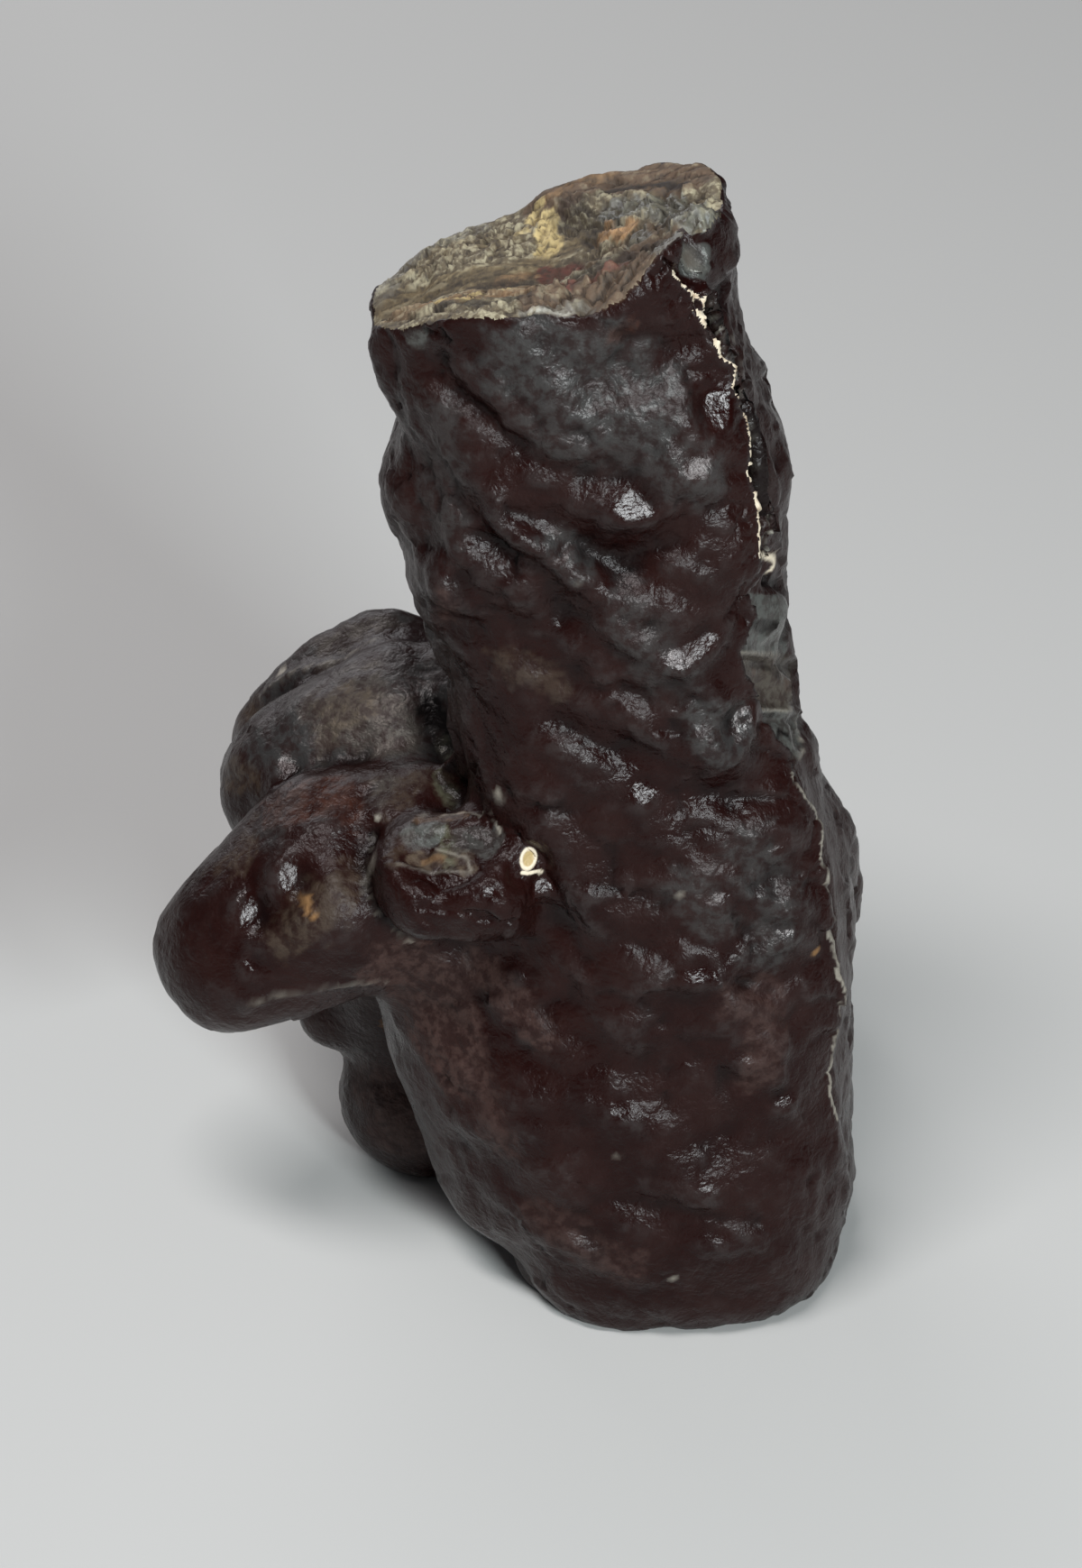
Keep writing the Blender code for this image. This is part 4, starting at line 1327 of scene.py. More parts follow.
@dataclass
class SmallKnob:
    """The knob between the finger and the trunk: its worn pad, its own break and the cream ring."""

    ring: Place = (1.05, 41.8)       # seen from the front, like the hook below it
    ring_radius: Span = (0.52, 0.68)
    ring_width: float = 0.10
    ring_height: float = 0.08
    ring_flat: Span = (1.1, 1.9)     # the worn pad round the ring
    ring_reach: float = 2.2
    hook: Path = ((0.6, 40.95), (1.0, 40.8), (1.8, 40.7), (2.0, 40.45))
    hook_width: Span = (0.08, 0.17)
    middle: Place = (-3.6, 39.8)     # the knob, seen from the front
    radius: Span = (5.6, 3.4)
    front: float = -8.0              # everything here lies in front of it
    thick: float = 3.0
    tints: tuple[Tint, ...] = (
        *tints_on(Paint.GREY, Side.ABOVE,
            (((-7.4, -9.9), (-5.9, -9.9)), 0.85, 0.8, 0.3),
            (((-3.6, -10.8), (-1.8, -11.4)), 1, 0.45, 0.4), level=KNOB_TOP),
        *tints_on(Paint.TAN, Side.ABOVE,
            (((-7.2, -11.6), (-5.8, -11.9), (-4.2, -11.8), (-3.4, -12.8)), 0.75), level=KNOB_TOP),
        *tints_on(Paint.OCHRE, Side.ABOVE, (((-6.4, -11.7), (-5.2, -11.9)), 0.3, 0.3, 0.9), level=KNOB_TOP),
        *tints_on(Paint.PALE, Side.ABOVE,
            (((-5.6, -11), (-4.3, -11.6), (-3.4, -12.3), (-3.1, -13.2)), 0.1, 0.3, 0.9),
            (((-8.4, -12.5), (-5.8, -12.8), (-3.2, -13.4)), 0.1, 0.15, 0.9), level=KNOB_TOP),
        *tints_on(Paint.BROWN, Side.ABOVE, (((-7, -8.4), (-3.8, -8.6)), 0.6, 0.7, 0.6), level=KNOB_TOP),
        *tints_on(Paint.PALE, Side.ABOVE,
            (((-6.6, -8), (-3.3, -8.4), (-1.6, -9.6), (-1, -10.8)), 0.14, 0.4, 0.9), level=KNOB_TOP + 0.5),
    )
    strokes: tuple[Stroke, ...] = (
        *strokes_on(Side.ABOVE,
            (((-7.6, -9.6), (-5.8, -9.8)), 0.9, 0.25),
            (((-7.6, -11), (-5.6, -11.1), (-4.2, -11.8)), 0.5, -0.22),
            (((-8, -12.4), (-6, -12.8), (-3, -13.3)), 0.35, 0.12), level=KNOB_TOP),
        *strokes_on(Side.FRONT, (((-6.5, 38.6), (-3.5, 38), (0, 38.4)), 0.6, -0.12)),
    )

    def ahead(self, stone: StoneMesh, index: np.ndarray) -> np.ndarray:
        """Which of some vertices lie on the stone's front, not far behind the foremost of them."""
        return stone.at[index, 1] < stone.at[index, 1].min() + self.thick

    def around(self, stone: StoneMesh) -> tuple[np.ndarray, np.ndarray, np.ndarray]:
        """Find the vertices near the ring.

        Args:
            stone: The stone's mesh.

        Returns:
            Their indices, how far each lies from the ring's line, and how near to its middle, where 1 is
            on the line.
        """
        index, _, facing = stone.near(Side.FRONT, (self.ring,), self.ring_reach)
        index = index[self.ahead(stone, index) & (facing > 0.1)]
        places, _ = stone.seen(Side.FRONT)
        reach = lengths((places[index] - np.array(self.ring)) / np.array(self.ring_radius))
        return index, np.abs(reach - 1.0) * self.ring_radius[0], reach

    def shape(self, stone: StoneMesh) -> None:
        """Flatten the pad under the ring, smooth the knob, open its break and raise the ring.

        Args:
            stone: The stone's mesh.
        """
        across, back, up = stone.at.T
        spot = np.sqrt((across - self.ring[0]) ** 2 + (up - self.ring[1]) ** 2)
        flat = fade(spot, *self.ring_flat) * ((back < self.front) & (stone.normal[:, 1] < 0.0))
        middle = (stone.at * flat[:, None]).sum(axis=0) / flat.sum()
        aim = unit((stone.normal * flat[:, None]).sum(axis=0))
        stone.at -= aim * (((stone.at - middle) @ aim) * flat * 0.9)[:, None]
        stone.refresh()
        reach = np.sqrt(((across - self.middle[0]) / self.radius[0]) ** 2
                        + ((up - self.middle[1]) / self.radius[1]) ** 2)
        stone.relax(3, fade(reach, 0.7, 1.0) * (back < self.front))
        height = np.zeros(len(stone.at))
        stone.press(self.strokes, height)
        index, off, _ = self.around(stone)
        height[index] += self.ring_height * bell(off, self.ring_width)
        stone.push(height)

    def dress(self, stone: StoneMesh) -> None:
        """Lay the knob's colours and its cream ring.

        Args:
            stone: The stone's mesh.
        """
        stone.stain(self.tints)
        index, off, reach = self.around(stone)
        stone.mark(Paint.CREAM, index, fade(off, self.ring_width * 0.7, self.ring_width * 1.5))
        stone.mark(Paint.STRAW, index, fade(reach, 0.85, 1.0) * 0.8)
        index, distance, _ = stone.near(Side.FRONT, self.hook, 0.6)
        ahead = self.ahead(stone, index)
        stone.mark(Paint.CREAM, index[ahead], fade(distance[ahead], *self.hook_width))


# ---------------------------------------------------------------- finishes

BLACK: Colour = (0, 0, 0, 1)
WHITE: Colour = (1, 1, 1, 1)


class Desk:
    """Short calls that place nodes in one tree and join them."""

    def __init__(self, tree: bpy.types.NodeTree) -> None:
        """Keep the tree."""
        self.tree = tree

    def node(self, kind: str, inputs: dict[Any, Any] | None = None, **settings: Any) -> bpy.types.Node:
        """Place one node.

        Args:
            kind: The node's Blender name, without ShaderNode.
            inputs: What goes into each input, a plain value or another node's output.
            settings: The node's own settings.

        Returns:
            The node.
        """
        node = self.tree.nodes.new("ShaderNode" + kind)
        for name, value in settings.items():
            setattr(node, name, value)
        for name, value in (inputs or {}).items():
            self.feed(node, name, value)
        return node

    def feed(self, node: bpy.types.Node, name: Any, value: Any) -> None:
        """Fill one input.

        Args:
            node: The node.
            name: The input's name or number.
            value: A plain value or another node's output.
        """
        if isinstance(value, bpy.types.NodeSocket):
            self.tree.links.new(value, node.inputs[name])
        else:
            node.inputs[name].default_value = value

    def sum(self, kind: str, first: Any, second: Any, clamp: bool = False) -> bpy.types.NodeSocket:
        """The outcome of one sum."""
        return self.node("Math", {0: first, 1: second}, operation=kind, use_clamp=clamp).outputs[0]

    def times(self, first: Any, second: Any, clamp: bool = False) -> bpy.types.NodeSocket:
        """One value times another."""
        return self.sum("MULTIPLY", first, second, clamp)

    def blend(self, share: Any, first: Any, second: Any) -> bpy.types.NodeSocket:
        """Two colours mixed by a share."""
        return self.node("Mix", {0: share, 6: first, 7: second}, data_type="RGBA").outputs[2]

    def step(self, value: Any, start: Any, end: Any, low: float = 0.0,
             high: float = 1.0) -> bpy.types.NodeSocket:
        """Map a range of one value onto another, with soft ends.

        Args:
            value: The value.
            start: Where its range starts.
            end: Where its range ends.
            low: What the start becomes.
            high: What the end becomes.

        Returns:
            The mapped value.
        """
        node = self.node("MapRange", {"Value": value, "From Min": start, "From Max": end,
                                      "To Min": low, "To Max": high}, interpolation_type="SMOOTHSTEP")
        return node.outputs["Result"]

    def mark(self, name: str) -> bpy.types.NodeSocket:
        """One of the mesh's attributes."""
        return self.node("Attribute", attribute_name=name).outputs["Fac"]

    def surface(self, size: Any) -> dict[str, bpy.types.NodeSocket]:
        """What a texture needs to lie in the stone's own space, with swells of one size in millimetres."""
        return {"Vector": self.node("TexCoord").outputs["Object"], "Scale": self.sum("DIVIDE", 1 / MM, size)}


def open_group(name: str, inputs: dict[str, tuple[str, Any]],
               outputs: dict[str, str]) -> tuple[Desk, Any, bpy.types.Node]:
    """Start a node group.

    Args:
        name: Its name.
        inputs: Each input's kind and first value.
        outputs: Each output's kind.

    Returns:
        The group's desk, its input sockets and its output node.
    """
    tree = bpy.data.node_groups.new(name, "ShaderNodeTree")
    for label, (kind, value) in inputs.items():
        socket = tree.interface.new_socket(label, in_out="INPUT", socket_type="NodeSocket" + kind)
        socket.default_value = value
    for label, kind in outputs.items():
        tree.interface.new_socket(label, in_out="OUTPUT", socket_type="NodeSocket" + kind)
    return Desk(tree), tree.nodes.new("NodeGroupInput").outputs, tree.nodes.new("NodeGroupOutput")


def mottle_group(soft: float = 0.17) -> bpy.types.NodeTree:
    """Two colours in soft uneven patches, with finer flecks inside them.

    Args:
        soft: How soft the patches' edges are.

    Returns:
        The node group.
    """
    desk, given, out = open_group(
        "Mottle", {"First": ("Color", BLACK), "Second": ("Color", WHITE), "Size": ("Float", 4.0),
                   "Lean": ("Float", 0.5)}, {"Color": "Color", "Mask": "Float"})
    broad = desk.node("TexNoise", {**desk.surface(given["Size"]), "Detail": 4.0, "Roughness": 0.62,
                                   "Distortion": 0.1})
    mask = desk.step(broad.outputs[0], desk.sum("SUBTRACT", given["Lean"], soft),
                     desk.sum("ADD", given["Lean"], soft))
    desk.feed(out, "Color", desk.blend(mask, given["First"], given["Second"]))
    desk.feed(out, "Mask", mask)
    return desk.tree


def grain_group(pit_spacing: float = 0.6, pit_size: float = 0.34) -> bpy.types.NodeTree:
    """A fine rough grain, as a height and as a mask of its pits.

    Args:
        pit_spacing: How many pits there are for each grain.
        pit_size: How large a pit is against the space between pits.

    Returns:
        The node group.
    """
    desk, given, out = open_group(
        "Fine grain", {"Size": ("Float", 0.4), "Pits": ("Float", 0.5)}, {"Height": "Float", "Pit": "Float"})
    place = desk.surface(given["Size"])
    fine = desk.node("TexNoise", {**place, "Detail": 5.0, "Roughness": 0.66})
    pits = desk.node("TexVoronoi", {**place, "Scale": desk.times(place["Scale"], pit_spacing)}, feature="F1")
    pit = desk.step(pits.outputs["Distance"], 0.0, pit_size, 1.0, 0.0)
    desk.feed(out, "Height", desk.sum("SUBTRACT", fine.outputs[0], desk.times(pit, given["Pits"])))
    desk.feed(out, "Pit", pit)
    return desk.tree


def crumple_group(height: float = 2.4) -> bpy.types.NodeTree:
    """Small sharp ridges with smooth places between them, as a height.

    Args:
        height: How high the ridges are.

    Returns:
        The node group.
    """
    desk, given, out = open_group("Crumple", {"Size": ("Float", 1.5)}, {"Height": "Float"})
    ridge = desk.node("TexNoise", {**desk.surface(given["Size"]), "Detail": 3.5, "Roughness": 0.55,
                                   "Distortion": 0.2})
    fold = desk.sum("ABSOLUTE", desk.sum("SUBTRACT", ridge.outputs[0], 0.5), 0.0)
    desk.feed(out, "Height", desk.times(fold, height))
    return desk.tree


@dataclass(frozen=True)
class Groups:
    """The node groups that the finishes share."""

    mottle: bpy.types.NodeTree
    grain: bpy.types.NodeTree
    crumple: bpy.types.NodeTree

    def patches(self, desk: Desk, size: float, first: Colour = BLACK, second: Colour = WHITE,
                lean: float = 0.5) -> Any:
        """Place soft patches of two colours, and give their outputs."""
        inputs = {"First": first, "Second": second, "Size": size, "Lean": lean}
        return desk.node("Group", inputs, node_tree=self.mottle).outputs

    def grains(self, desk: Desk, size: float, pits: float) -> Any:
        """Place a fine grain, and give its outputs."""
        return desk.node("Group", {"Size": size, "Pits": pits}, node_tree=self.grain).outputs

    def ridges(self, desk: Desk, size: float) -> bpy.types.NodeSocket:
        """Place small ridges, and give their height."""
        return desk.node("Group", {"Size": size}, node_tree=self.crumple).outputs["Height"]


@dataclass(frozen=True)
class Relief:
    """How strongly and how deep, in millimetres, a finish's fine relief shades it."""

    strength: float
    depth: float

    def shade(self, desk: Desk, shader: bpy.types.Node, height: bpy.types.NodeSocket) -> None:
        """Let a height shade the material."""
        bump = desk.node("Bump", {"Height": height, "Strength": self.strength, "Distance": self.depth * MM})
        desk.feed(shader, "Normal", bump.outputs[0])


def start_material(name: str, colour: Colour) -> tuple[bpy.types.Material, Desk, bpy.types.Node]:
    """Start a material.

    Args:
        name: Its name.
        colour: Its colour in a plain view.

    Returns:
        The material, its desk and its Principled shader.
    """
    material = bpy.data.materials.new(name)
    material.diffuse_color = colour
    material.use_nodes = True
    return material, Desk(material.node_tree), material.node_tree.nodes["Principled BSDF"]


@dataclass(frozen=True)
class WaxyPatina:
    """The black-brown skin: its maroon cast partly a painted reflection of red surroundings, painted shade
    in its hollows, a grey-brown film and painted sheen on its crests, glossy on the lumps.
    """

    # near black with a maroon cast; the red is partly a painted reflection of red surroundings
    deep: Colour = (0.0085, 0.0013, 0.0010, 1)
    warm: Colour = (0.0140, 0.0038, 0.0030, 1)
    # the film's grey-brown, also used for the painted sheen on the crests
    haze: Colour = (0.062, 0.058, 0.056, 1)
    dust: Colour = (0.046, 0.024, 0.020, 1)
    tan: Colour = (0.085, 0.060, 0.040, 1)
    rust: Colour = (0.060, 0.018, 0.009, 1)
    ochre: Colour = (0.24, 0.125, 0.050, 1)
    pale: Colour = (0.46, 0.41, 0.34, 1)
    grey: Colour = (0.080, 0.080, 0.073, 1)
    olive: Colour = (0.075, 0.070, 0.045, 1)
    brown: Colour = (0.095, 0.055, 0.034, 1)
    straw: Colour = (0.50, 0.36, 0.17, 1)
    cream: Colour = (0.66, 0.55, 0.42, 1)
    crumb: Colour = (0.28, 0.26, 0.22, 1)
    # the colour of the painted shade
    black: Colour = (0.003, 0.002, 0.002, 1)
    patch_size: float = 5.0      # millimetres, like the next three
    fleck_size: float = 0.9
    grain_size: float = 0.45
    ridge_size: float = 1.4
    # painted sheen lightens the crests, and painted shade darkens the hollows
    crest_sheen: float = 0.25
    metallic_haze: float = 0.55
    hollow_shade: float = 0.8
    polish: Span = (0.25, 0.34)  # the roughness of the maroon and of the brown patches
    dullness: float = 0.22       # what dust and stains add to it, and what the gloss takes away
    glossiness: float = 0.10
    gloss_calm: float = 0.55
    grain_share: float = 0.42
    relief: Relief = Relief(0.46, 0.28)
    specular: float = 0.17
    specular_tint: Colour = (1.0, 0.93, 0.92, 1)

    def colour(self, desk: Desk, patches: bpy.types.NodeSocket, flecks: bpy.types.NodeSocket,
               fleck: bpy.types.NodeSocket) -> bpy.types.NodeSocket:
        """Lay the skin's colours over each other, with painted sheen on the crests and painted shade in the
        hollows, pits and cracks.

        Args:
            desk: The material's desk.
            patches: The skin's own colour.
            flecks: A mask of fine flecks.
            fleck: How much of what lies on the skin each place takes.

        Returns:
            The colour.
        """
        # painted sheen on the crests
        crest = desk.times(desk.mark("crest"), fleck)
        colour = desk.blend(desk.times(crest, self.crest_sheen), patches, self.haze)
        # the grey-brown film is partly painted sheen
        for name, layer, strength in (("haze", self.haze, 0.85), ("dust", self.dust, 0.9),
                                      ("tan", self.tan, 0.75), ("rust", self.rust, 0.8),
                                      ("brown", self.brown, 0.9), ("olive", self.olive, 0.8)):
            share = desk.times(desk.mark(name), fleck)
            colour = desk.blend(desk.times(share, strength), colour, layer)
        share = desk.times(desk.mark("grey"), desk.step(fleck, 0.2, 1.0, 0.42, 1.0))
        colour = desk.blend(share, colour, self.grey)
        for name, layer in (("ochre", self.ochre), ("straw", self.straw), ("pale", self.pale),
                            ("cream", self.cream)):
            colour = desk.blend(desk.mark(name), colour, layer)
        crumb = desk.times(desk.mark("crumb"), desk.step(flecks, 0, 1, 0.3, 1.0))
        colour = desk.blend(crumb, colour, self.crumb)
        # painted shade: black in the hollows, the pits and the cracks
        shade = desk.times(desk.mark("hollow"), self.hollow_shade)
        for name in ("dark", "gap"):
            shade = desk.sum("MAXIMUM", shade, desk.mark(name))
        return desk.blend(shade, colour, self.black)

    def roughness(self, desk: Desk, patches: bpy.types.NodeSocket) -> bpy.types.NodeSocket:
        """Make the skin dull where it is stained and smooth where it is worn.

        Args:
            desk: The material's desk.
            patches: The mask of the skin's patches.

        Returns:
            The roughness.
        """
        dull = desk.times(desk.mark("haze"), 0.3)
        for name in ("dust", "tan", "pale", "ochre"):
            dull = desk.sum("MAXIMUM", dull, desk.mark(name))
        dull = desk.times(dull, desk.sum("SUBTRACT", 1.0, desk.mark("gloss"), True))
        skin = desk.step(patches, 0.0, 1.0, *self.polish)
        skin = desk.sum("ADD", skin, desk.times(dull, self.dullness), True)
        return desk.sum("SUBTRACT", skin, desk.times(desk.mark("gloss"), self.glossiness))

    def make(self, groups: Groups) -> bpy.types.Material:
        """Build the material.

        Args:
            groups: The shared node groups.

        Returns:
            The material.
        """
        material, desk, shader = start_material("Waxy iron patina", self.warm)
        patches = groups.patches(desk, self.patch_size, self.deep, self.warm)
        flecks = groups.patches(desk, self.fleck_size)["Mask"]
        fleck = desk.step(flecks, 0.0, 1.0, 0.2, 1.0)
        sheen = desk.times(desk.mark("haze"), fleck)
        desk.feed(shader, "Base Color", self.colour(desk, patches["Color"], flecks, fleck))
        desk.feed(shader, "Metallic", desk.times(sheen, self.metallic_haze))
        desk.feed(shader, "Roughness", self.roughness(desk, patches["Mask"]))
        grain = groups.grains(desk, self.grain_size, 0.25)["Height"]
        height = desk.sum("ADD", groups.ridges(desk, self.ridge_size), desk.times(grain, self.grain_share))
        calm = desk.sum("SUBTRACT", 1.0, desk.times(desk.mark("gloss"), self.gloss_calm))
        self.relief.shade(desk, shader, desk.times(height, calm))
        desk.feed(shader, "Specular IOR Level", self.specular)
        desk.feed(shader, "Specular Tint", self.specular_tint)
        return material


@dataclass(frozen=True)
class BrokenIronstone:
    """The dull break: grey and ochre grains, with straw, rust and olive places and grey crystal facets."""

    dark: Colour = (0.040, 0.027, 0.018, 1)
    middle: Colour = (0.122, 0.091, 0.055, 1)
    light: Colour = (0.35, 0.30, 0.20, 1)
    straw: Colour = (0.56, 0.42, 0.19, 1)
    peach: Colour = (0.50, 0.29, 0.14, 1)
    ochre: Colour = (0.22, 0.125, 0.060, 1)
    rust: Colour = (0.115, 0.030, 0.020, 1)
    olive: Colour = (0.16, 0.112, 0.055, 1)
    grey: Colour = (0.130, 0.128, 0.108, 1)
    brown: Colour = (0.105, 0.060, 0.035, 1)
    pale: Colour = (0.44, 0.41, 0.35, 1)
    black: Colour = (0.010, 0.006, 0.005, 1)
    speck_size: float = 0.55     # millimetres, like the next two
    patch_size: float = 2.4
    grain_size: float = 0.30
    tones: tuple[float, float, float] = (0.62, 0.26, 0.12)  # the shares of the pieces, specks and patches
    # how much of the painted shade the dark marks and the gaps get
    dark_share: float = 0.8
    gap_share: float = 0.85
    pit_share: float = 0.35
    dull: float = 0.72
    crystal_shine: float = 0.36
    relief: Relief = Relief(0.55, 0.10)

    def make(self, groups: Groups) -> bpy.types.Material:
        """Build the material.

        Args:
            groups: The shared node groups.

        Returns:
            The material.
        """
        material, desk, shader = start_material("Broken ironstone", self.middle)
        specks = groups.patches(desk, self.speck_size)["Mask"]
        broad = groups.patches(desk, self.patch_size)["Mask"]
        grain = groups.grains(desk, self.grain_size, 0.4)
        pieces, fine, wide = self.tones
        tone = desk.sum("ADD", desk.times(desk.mark("tone"), pieces), desk.times(specks, fine))
        tone = desk.sum("ADD", tone, desk.times(broad, wide))
        colour = desk.blend(desk.step(tone, 0.20, 0.50), self.dark, self.middle)
        colour = desk.blend(desk.step(tone, 0.50, 0.80), colour, self.light)
        fleck = desk.step(tone, 0.1, 0.6, 0.3, 1.0)
        for name, layer, strength in (("brown", self.brown, 1.0), ("olive", self.olive, 0.8),
                                      ("grey", self.grey, 0.8), ("rust", self.rust, 0.95),
                                      ("ochre", self.ochre, 1.0), ("straw", self.straw, 1.1),
                                      ("peach", self.peach, 1.0), ("pale", self.pale, 1.0)):
            share = desk.times(desk.mark(name), fleck)
            own = desk.blend(desk.step(tone, 0.25, 0.75, 0.45, 0.0), layer, self.dark)
            own = desk.blend(desk.step(tone, 0.62, 0.95, 0.0, 0.35), own, self.light)
            colour = desk.blend(desk.times(share, strength, True), colour, own)
        # painted shade: black in the dark marks and the gaps; the grain's pits are darker too
        for share, layer in ((desk.times(desk.mark("dark"), self.dark_share), self.black),
                             (desk.times(desk.mark("gap"), self.gap_share), self.black),
                             (desk.times(grain["Pit"], self.pit_share), self.dark)):
            colour = desk.blend(share, colour, layer)
        desk.feed(shader, "Base Color", colour)
        shine = desk.times(desk.mark("grey"), self.crystal_shine)
        desk.feed(shader, "Roughness", desk.sum("SUBTRACT", self.dull, shine))
        self.relief.shade(desk, shader, grain["Height"])
        return material


@dataclass(frozen=True)
class CreamMineral:
    """The cream mineral along the shell's edge."""

    cream: Colour = (0.66, 0.55, 0.42, 1)
    tan: Colour = (0.36, 0.25, 0.16, 1)
    patch_size: float = 0.8      # millimetres, like the next one
    grain_size: float = 0.3
    dull: float = 0.6
    relief: Relief = Relief(0.4, 0.05)

    def make(self, groups: Groups) -> bpy.types.Material:
        """Build the material.

        Args:
            groups: The shared node groups.

        Returns:
            The material.
        """
        material, desk, shader = start_material("Cream mineral", self.cream)
        patches = groups.patches(desk, self.patch_size, self.tan, self.cream, 0.44)
        desk.feed(shader, "Base Color", patches["Color"])
        desk.feed(shader, "Roughness", self.dull)
        self.relief.shade(desk, shader, groups.grains(desk, self.grain_size, 0.2)["Height"])
        return material


# ---------------------------------------------------------------- the whole stone

@dataclass
class Stone:
    """The stone: its parts, in the order in which they shape the one mesh."""

    voxel: float = 0.53
    low_flank: Span = (44.0, 48.0)   # heights over which the split's low end starts to be smoothed
    low_foot: Span = (20.0, 26.0)
    fine_knob: Place = (-3.5, 40.6)  # the middle and half size of the knob's finer faces, from the front
    fine_knob_size: Span = (6.4, 3.4)
    fine_knob_front: float = -6.5
    fine_ring: float = 1.5           # the radius of the ring's finest faces
    fine_ring_front: float = -8.0
    seam_start: Span = (-1.5, -1.3)  # where the split's finer faces lie behind the shell's edge
    seam_end: Span = (1.5, 1.7)
    seam_upper: float = 61.0         # above it they are the finest
    top: BrokenTop = field(default_factory=BrokenTop)
    flank: SplitFlank = field(default_factory=SplitFlank)
    skin: Skin = field(default_factory=Skin)
    knob: SmallKnob = field(default_factory=SmallKnob)

    def even_out(self, stone: StoneMesh) -> None:
        """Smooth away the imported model's flat faces, but keep its lumps.

        Args:
            stone: The stone's mesh.
        """
        calm = stone.spread(1.0 - ease(stone.marks["break"], 0.0, 0.6), 2)
        stone.relax(4, calm)
        stone.polish(12, calm)
        stone.relax(2, 1.0 - calm, 0.4)
        stone.relax(30, self.flank.near_scars(stone, 1.2) * calm)
        behind, flank = self.flank.behind(stone, self.flank.path)
        across, _, up = stone.at.T
        low = fade(up, *self.low_flank) * ease(behind, -2.0, -0.5)
        low = low * np.maximum(ease(flank, 0.0, 0.1), ease(up, *self.low_foot) * ease(across, 9.0, 12.0))
        stone.relax(140, low * fade(behind, 4.5, 7.0))

    def cut_finer(self, stone: StoneMesh) -> None:
        """Refine the places that have fine shapes.

        Args:
            stone: The stone's mesh.
        """
        rim = self.top.rim_distance(stone)
        behind, flank = self.flank.behind(stone, self.flank.edge)
        places, facing = stone.seen(Side.FRONT)
        _, back, up = stone.at.T
        seam = ease(flank, 0.02, 0.1) * ease(behind, *self.seam_start) * (1.0 - ease(behind, *self.seam_end))
        upper = up > self.seam_upper
        scars = self.flank.near_scars(stone, 0.9) > 0.0
        inside = np.abs(places - np.array(self.fine_knob)) < np.array(self.fine_knob_size)
        knob = inside.all(axis=1) & (back < self.fine_knob_front) & (facing > -0.1)
        ring = lengths(places - np.array(self.knob.ring)) < self.fine_ring
        ring = ring & (back < self.fine_ring_front) & (facing > 0.1)
        stone.refine({"ring": (ring * 1.0, 5), "seam": (seam * upper, 3), "low seam": (seam * ~upper, 1),
                      "break": ((rim > -1.0) * 1.0, 2), "scars": (scars * 1.0, 2), "knob": (knob * 1.0, 2)})

    def curvature(self, stone: StoneMesh) -> None:
        """Mark the hollows and the crests of the skin, where the patina paints shade and sheen.

        Args:
            stone: The stone's mesh.
        """
        hollow = ((stone.blurred(stone.at, 10) - stone.at) * stone.normal).sum(axis=1)
        stone.marks["hollow"] = stone.spread(ease(hollow, 0.04, 0.26), 1)
        stone.marks["crest"] = stone.spread(ease(-hollow, 0.015, 0.16), 1)

    def build(self) -> bpy.types.Object:
        """Shape and dress the stone.

        Returns:
            The finished object.
        """
        stone = StoneMesh(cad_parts["prophecy_stone"], self.voxel)
        log.info("even grid: %d vertices", len(stone.at))
        self.top.find(stone)
        self.flank.heal(stone)
        self.even_out(stone)
        self.cut_finer(stone)
        log.info("finer zones: %d vertices", len(stone.at))
        stone.relax(4, np.ones(len(stone.at)))
        stone.look()
        rim = self.top.rim_distance(stone)
        skin = 1.0 - ease(rim, -0.9, 0.1)
        self.skin.shape(stone, skin)
        self.top.shape(stone, rim)
        behind = self.flank.shape(stone)
        self.flank.scar(stone)
        self.knob.shape(stone)
        self.curvature(stone)
        for paint in Paint:
            stone.marks.setdefault(paint.value, np.zeros(len(stone.at)))
        self.skin.dress(stone, skin)
        self.flank.dress(stone, behind)
        self.top.dress(stone, rim)
        self.knob.dress(stone)
        self.slots(stone, rim, self.flank.cream(stone, behind, rim))
        stone.at[:, 2] = np.maximum(stone.at[:, 2], 0.0)
        stone.write()
        return stone.obj

    def slots(self, stone: StoneMesh, rim: np.ndarray, cream: np.ndarray) -> None:
        """Give the mesh its materials, and each face its slot.

        Args:
            stone: The stone's mesh.
            rim: How far each vertex lies inside the break's rim.
            cream: 1 for each vertex in the cream mineral and 0 elsewhere.
        """
        inside = stone.to_faces((rim > 0.0).astype(float)) > 0.5
        slot = np.where(inside, Finish.BREAK.value, Finish.PATINA.value)
        slot = np.where(stone.to_faces(cream) > 0.5, Finish.CREAM.value, slot)
        groups = Groups(mottle_group(), grain_group(), crumple_group())
        mesh = stone.obj.data
        mesh.materials.clear()
        for finish in (WaxyPatina(), BrokenIronstone(), CreamMineral()):
            mesh.materials.append(finish.make(groups))
        mesh.polygons.foreach_set("material_index", slot.astype(np.int32))


# ---------------------------------------------------------------- studio

@dataclass(frozen=True)
class Lamp:
    """One soft lamp: where it stands, its two sizes in metres, its power and its colour."""

    name: str
    place: Spot
    size: tuple[float, float]
    power: float
    colour: Spot


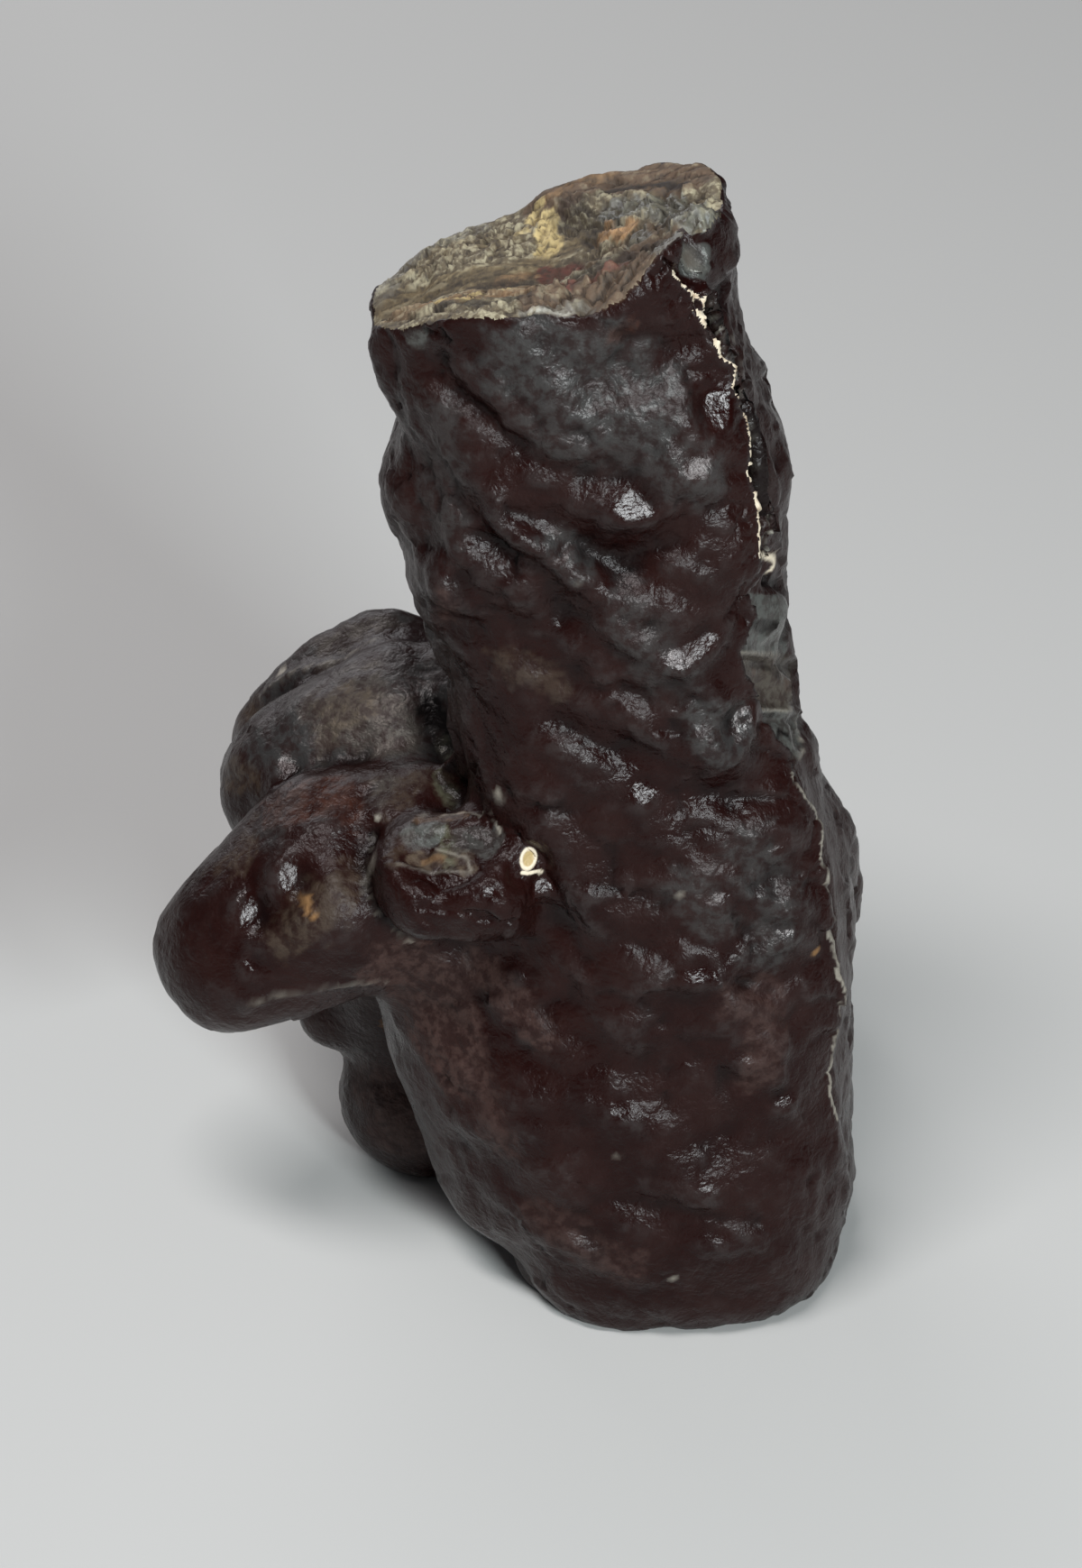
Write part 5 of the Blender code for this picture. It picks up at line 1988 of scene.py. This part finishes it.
@dataclass
class Studio:
    """A pale floor, soft lamps and the camera, in metres and degrees."""

    target: Spot = (0.00195, -0.0009, 0.0406)
    distance: float = 0.330
    elevation: float = ELEVATION
    sensor: float = 36.0             # millimetres
    view_height: float = 1739.0      # the view's height in pixels, and how many millimetres one covers
    pixel: float = 0.067
    clip_start: float = 0.01
    floor_size: float = 4.0
    floor_colour: Colour = (0.475, 0.455, 0.44, 1)
    floor_roughness: float = 0.9
    sky_colour: Colour = (0.80, 0.84, 0.90, 1)
    sky_strength: float = 0.10
    lamps: tuple[Lamp, ...] = (
        Lamp("key", (0.246, -0.504, 0.298), (0.13, 0.13), 4.3, (0.86, 0.97, 1.0)),
        Lamp("back", (-0.22, 0.46, 0.30), (0.40, 0.40), 1.2, (0.95, 0.97, 1.0)),
        Lamp("overhead", (-0.12, -0.19, 0.59), (0.26, 0.10), 2.8, (0.96, 0.98, 1.0)),
    )

    def lay_floor(self) -> None:
        """Lay the pale floor."""
        bpy.ops.mesh.primitive_plane_add(size=self.floor_size, location=(0, 0, 0))
        floor = bpy.context.object
        floor.name = "floor"
        material, desk, shader = start_material("Pale floor", self.floor_colour)
        desk.feed(shader, "Base Color", self.floor_colour)
        desk.feed(shader, "Roughness", self.floor_roughness)
        floor.data.materials.append(material)

    def place(self, name: str, data: Any, spot: Vector, back: Vector) -> bpy.types.Object:
        """Stand a lamp or a camera in the scene.

        Args:
            name: Its name.
            data: The lamp's or the camera's data.
            spot: Where it stands.
            back: The way that its back faces.

        Returns:
            The object.
        """
        thing = bpy.data.objects.new(name, data)
        thing.location = spot
        thing.rotation_mode = "QUATERNION"
        thing.rotation_quaternion = back.to_track_quat("Z", "Y")
        bpy.context.scene.collection.objects.link(thing)
        return thing

    def build(self) -> None:
        """Set up the floor, the lamps, the sky and the camera."""
        scene = bpy.context.scene
        target = Vector(self.target)
        self.lay_floor()
        for lamp in self.lamps:
            data = bpy.data.lights.new(lamp.name, "AREA")
            data.shape, data.size, data.size_y = "RECTANGLE", *lamp.size
            data.energy, data.color = lamp.power, lamp.colour
            self.place(lamp.name, data, Vector(lamp.place), Vector(lamp.place) - target)
        scene.world = bpy.data.worlds.new("Studio")
        scene.world.use_nodes = True
        sky = scene.world.node_tree.nodes["Background"]
        sky.inputs["Color"].default_value = self.sky_colour
        sky.inputs["Strength"].default_value = self.sky_strength
        scene.view_settings.view_transform = "Standard"
        data = bpy.data.cameras.new("camera")
        data.sensor_width, data.clip_start = self.sensor, self.clip_start
        data.lens = self.sensor * (self.distance / MM / self.pixel) / self.view_height
        rise = math.radians(self.elevation)
        back = Vector((0.0, -math.cos(rise), math.sin(rise)))
        scene.camera = self.place("camera", data, target + back * self.distance, back)


def main() -> None:
    """Build the stone and the studio."""
    logging.basicConfig(level=logging.INFO, format="%(name)s: %(message)s")
    piece = Stone().build()
    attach(piece, "root")
    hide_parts("prophecy_stone")
    log.info("%s: %d faces", piece.name, len(piece.data.polygons))
    Studio().build()


if __name__ == "__main__":
    main()
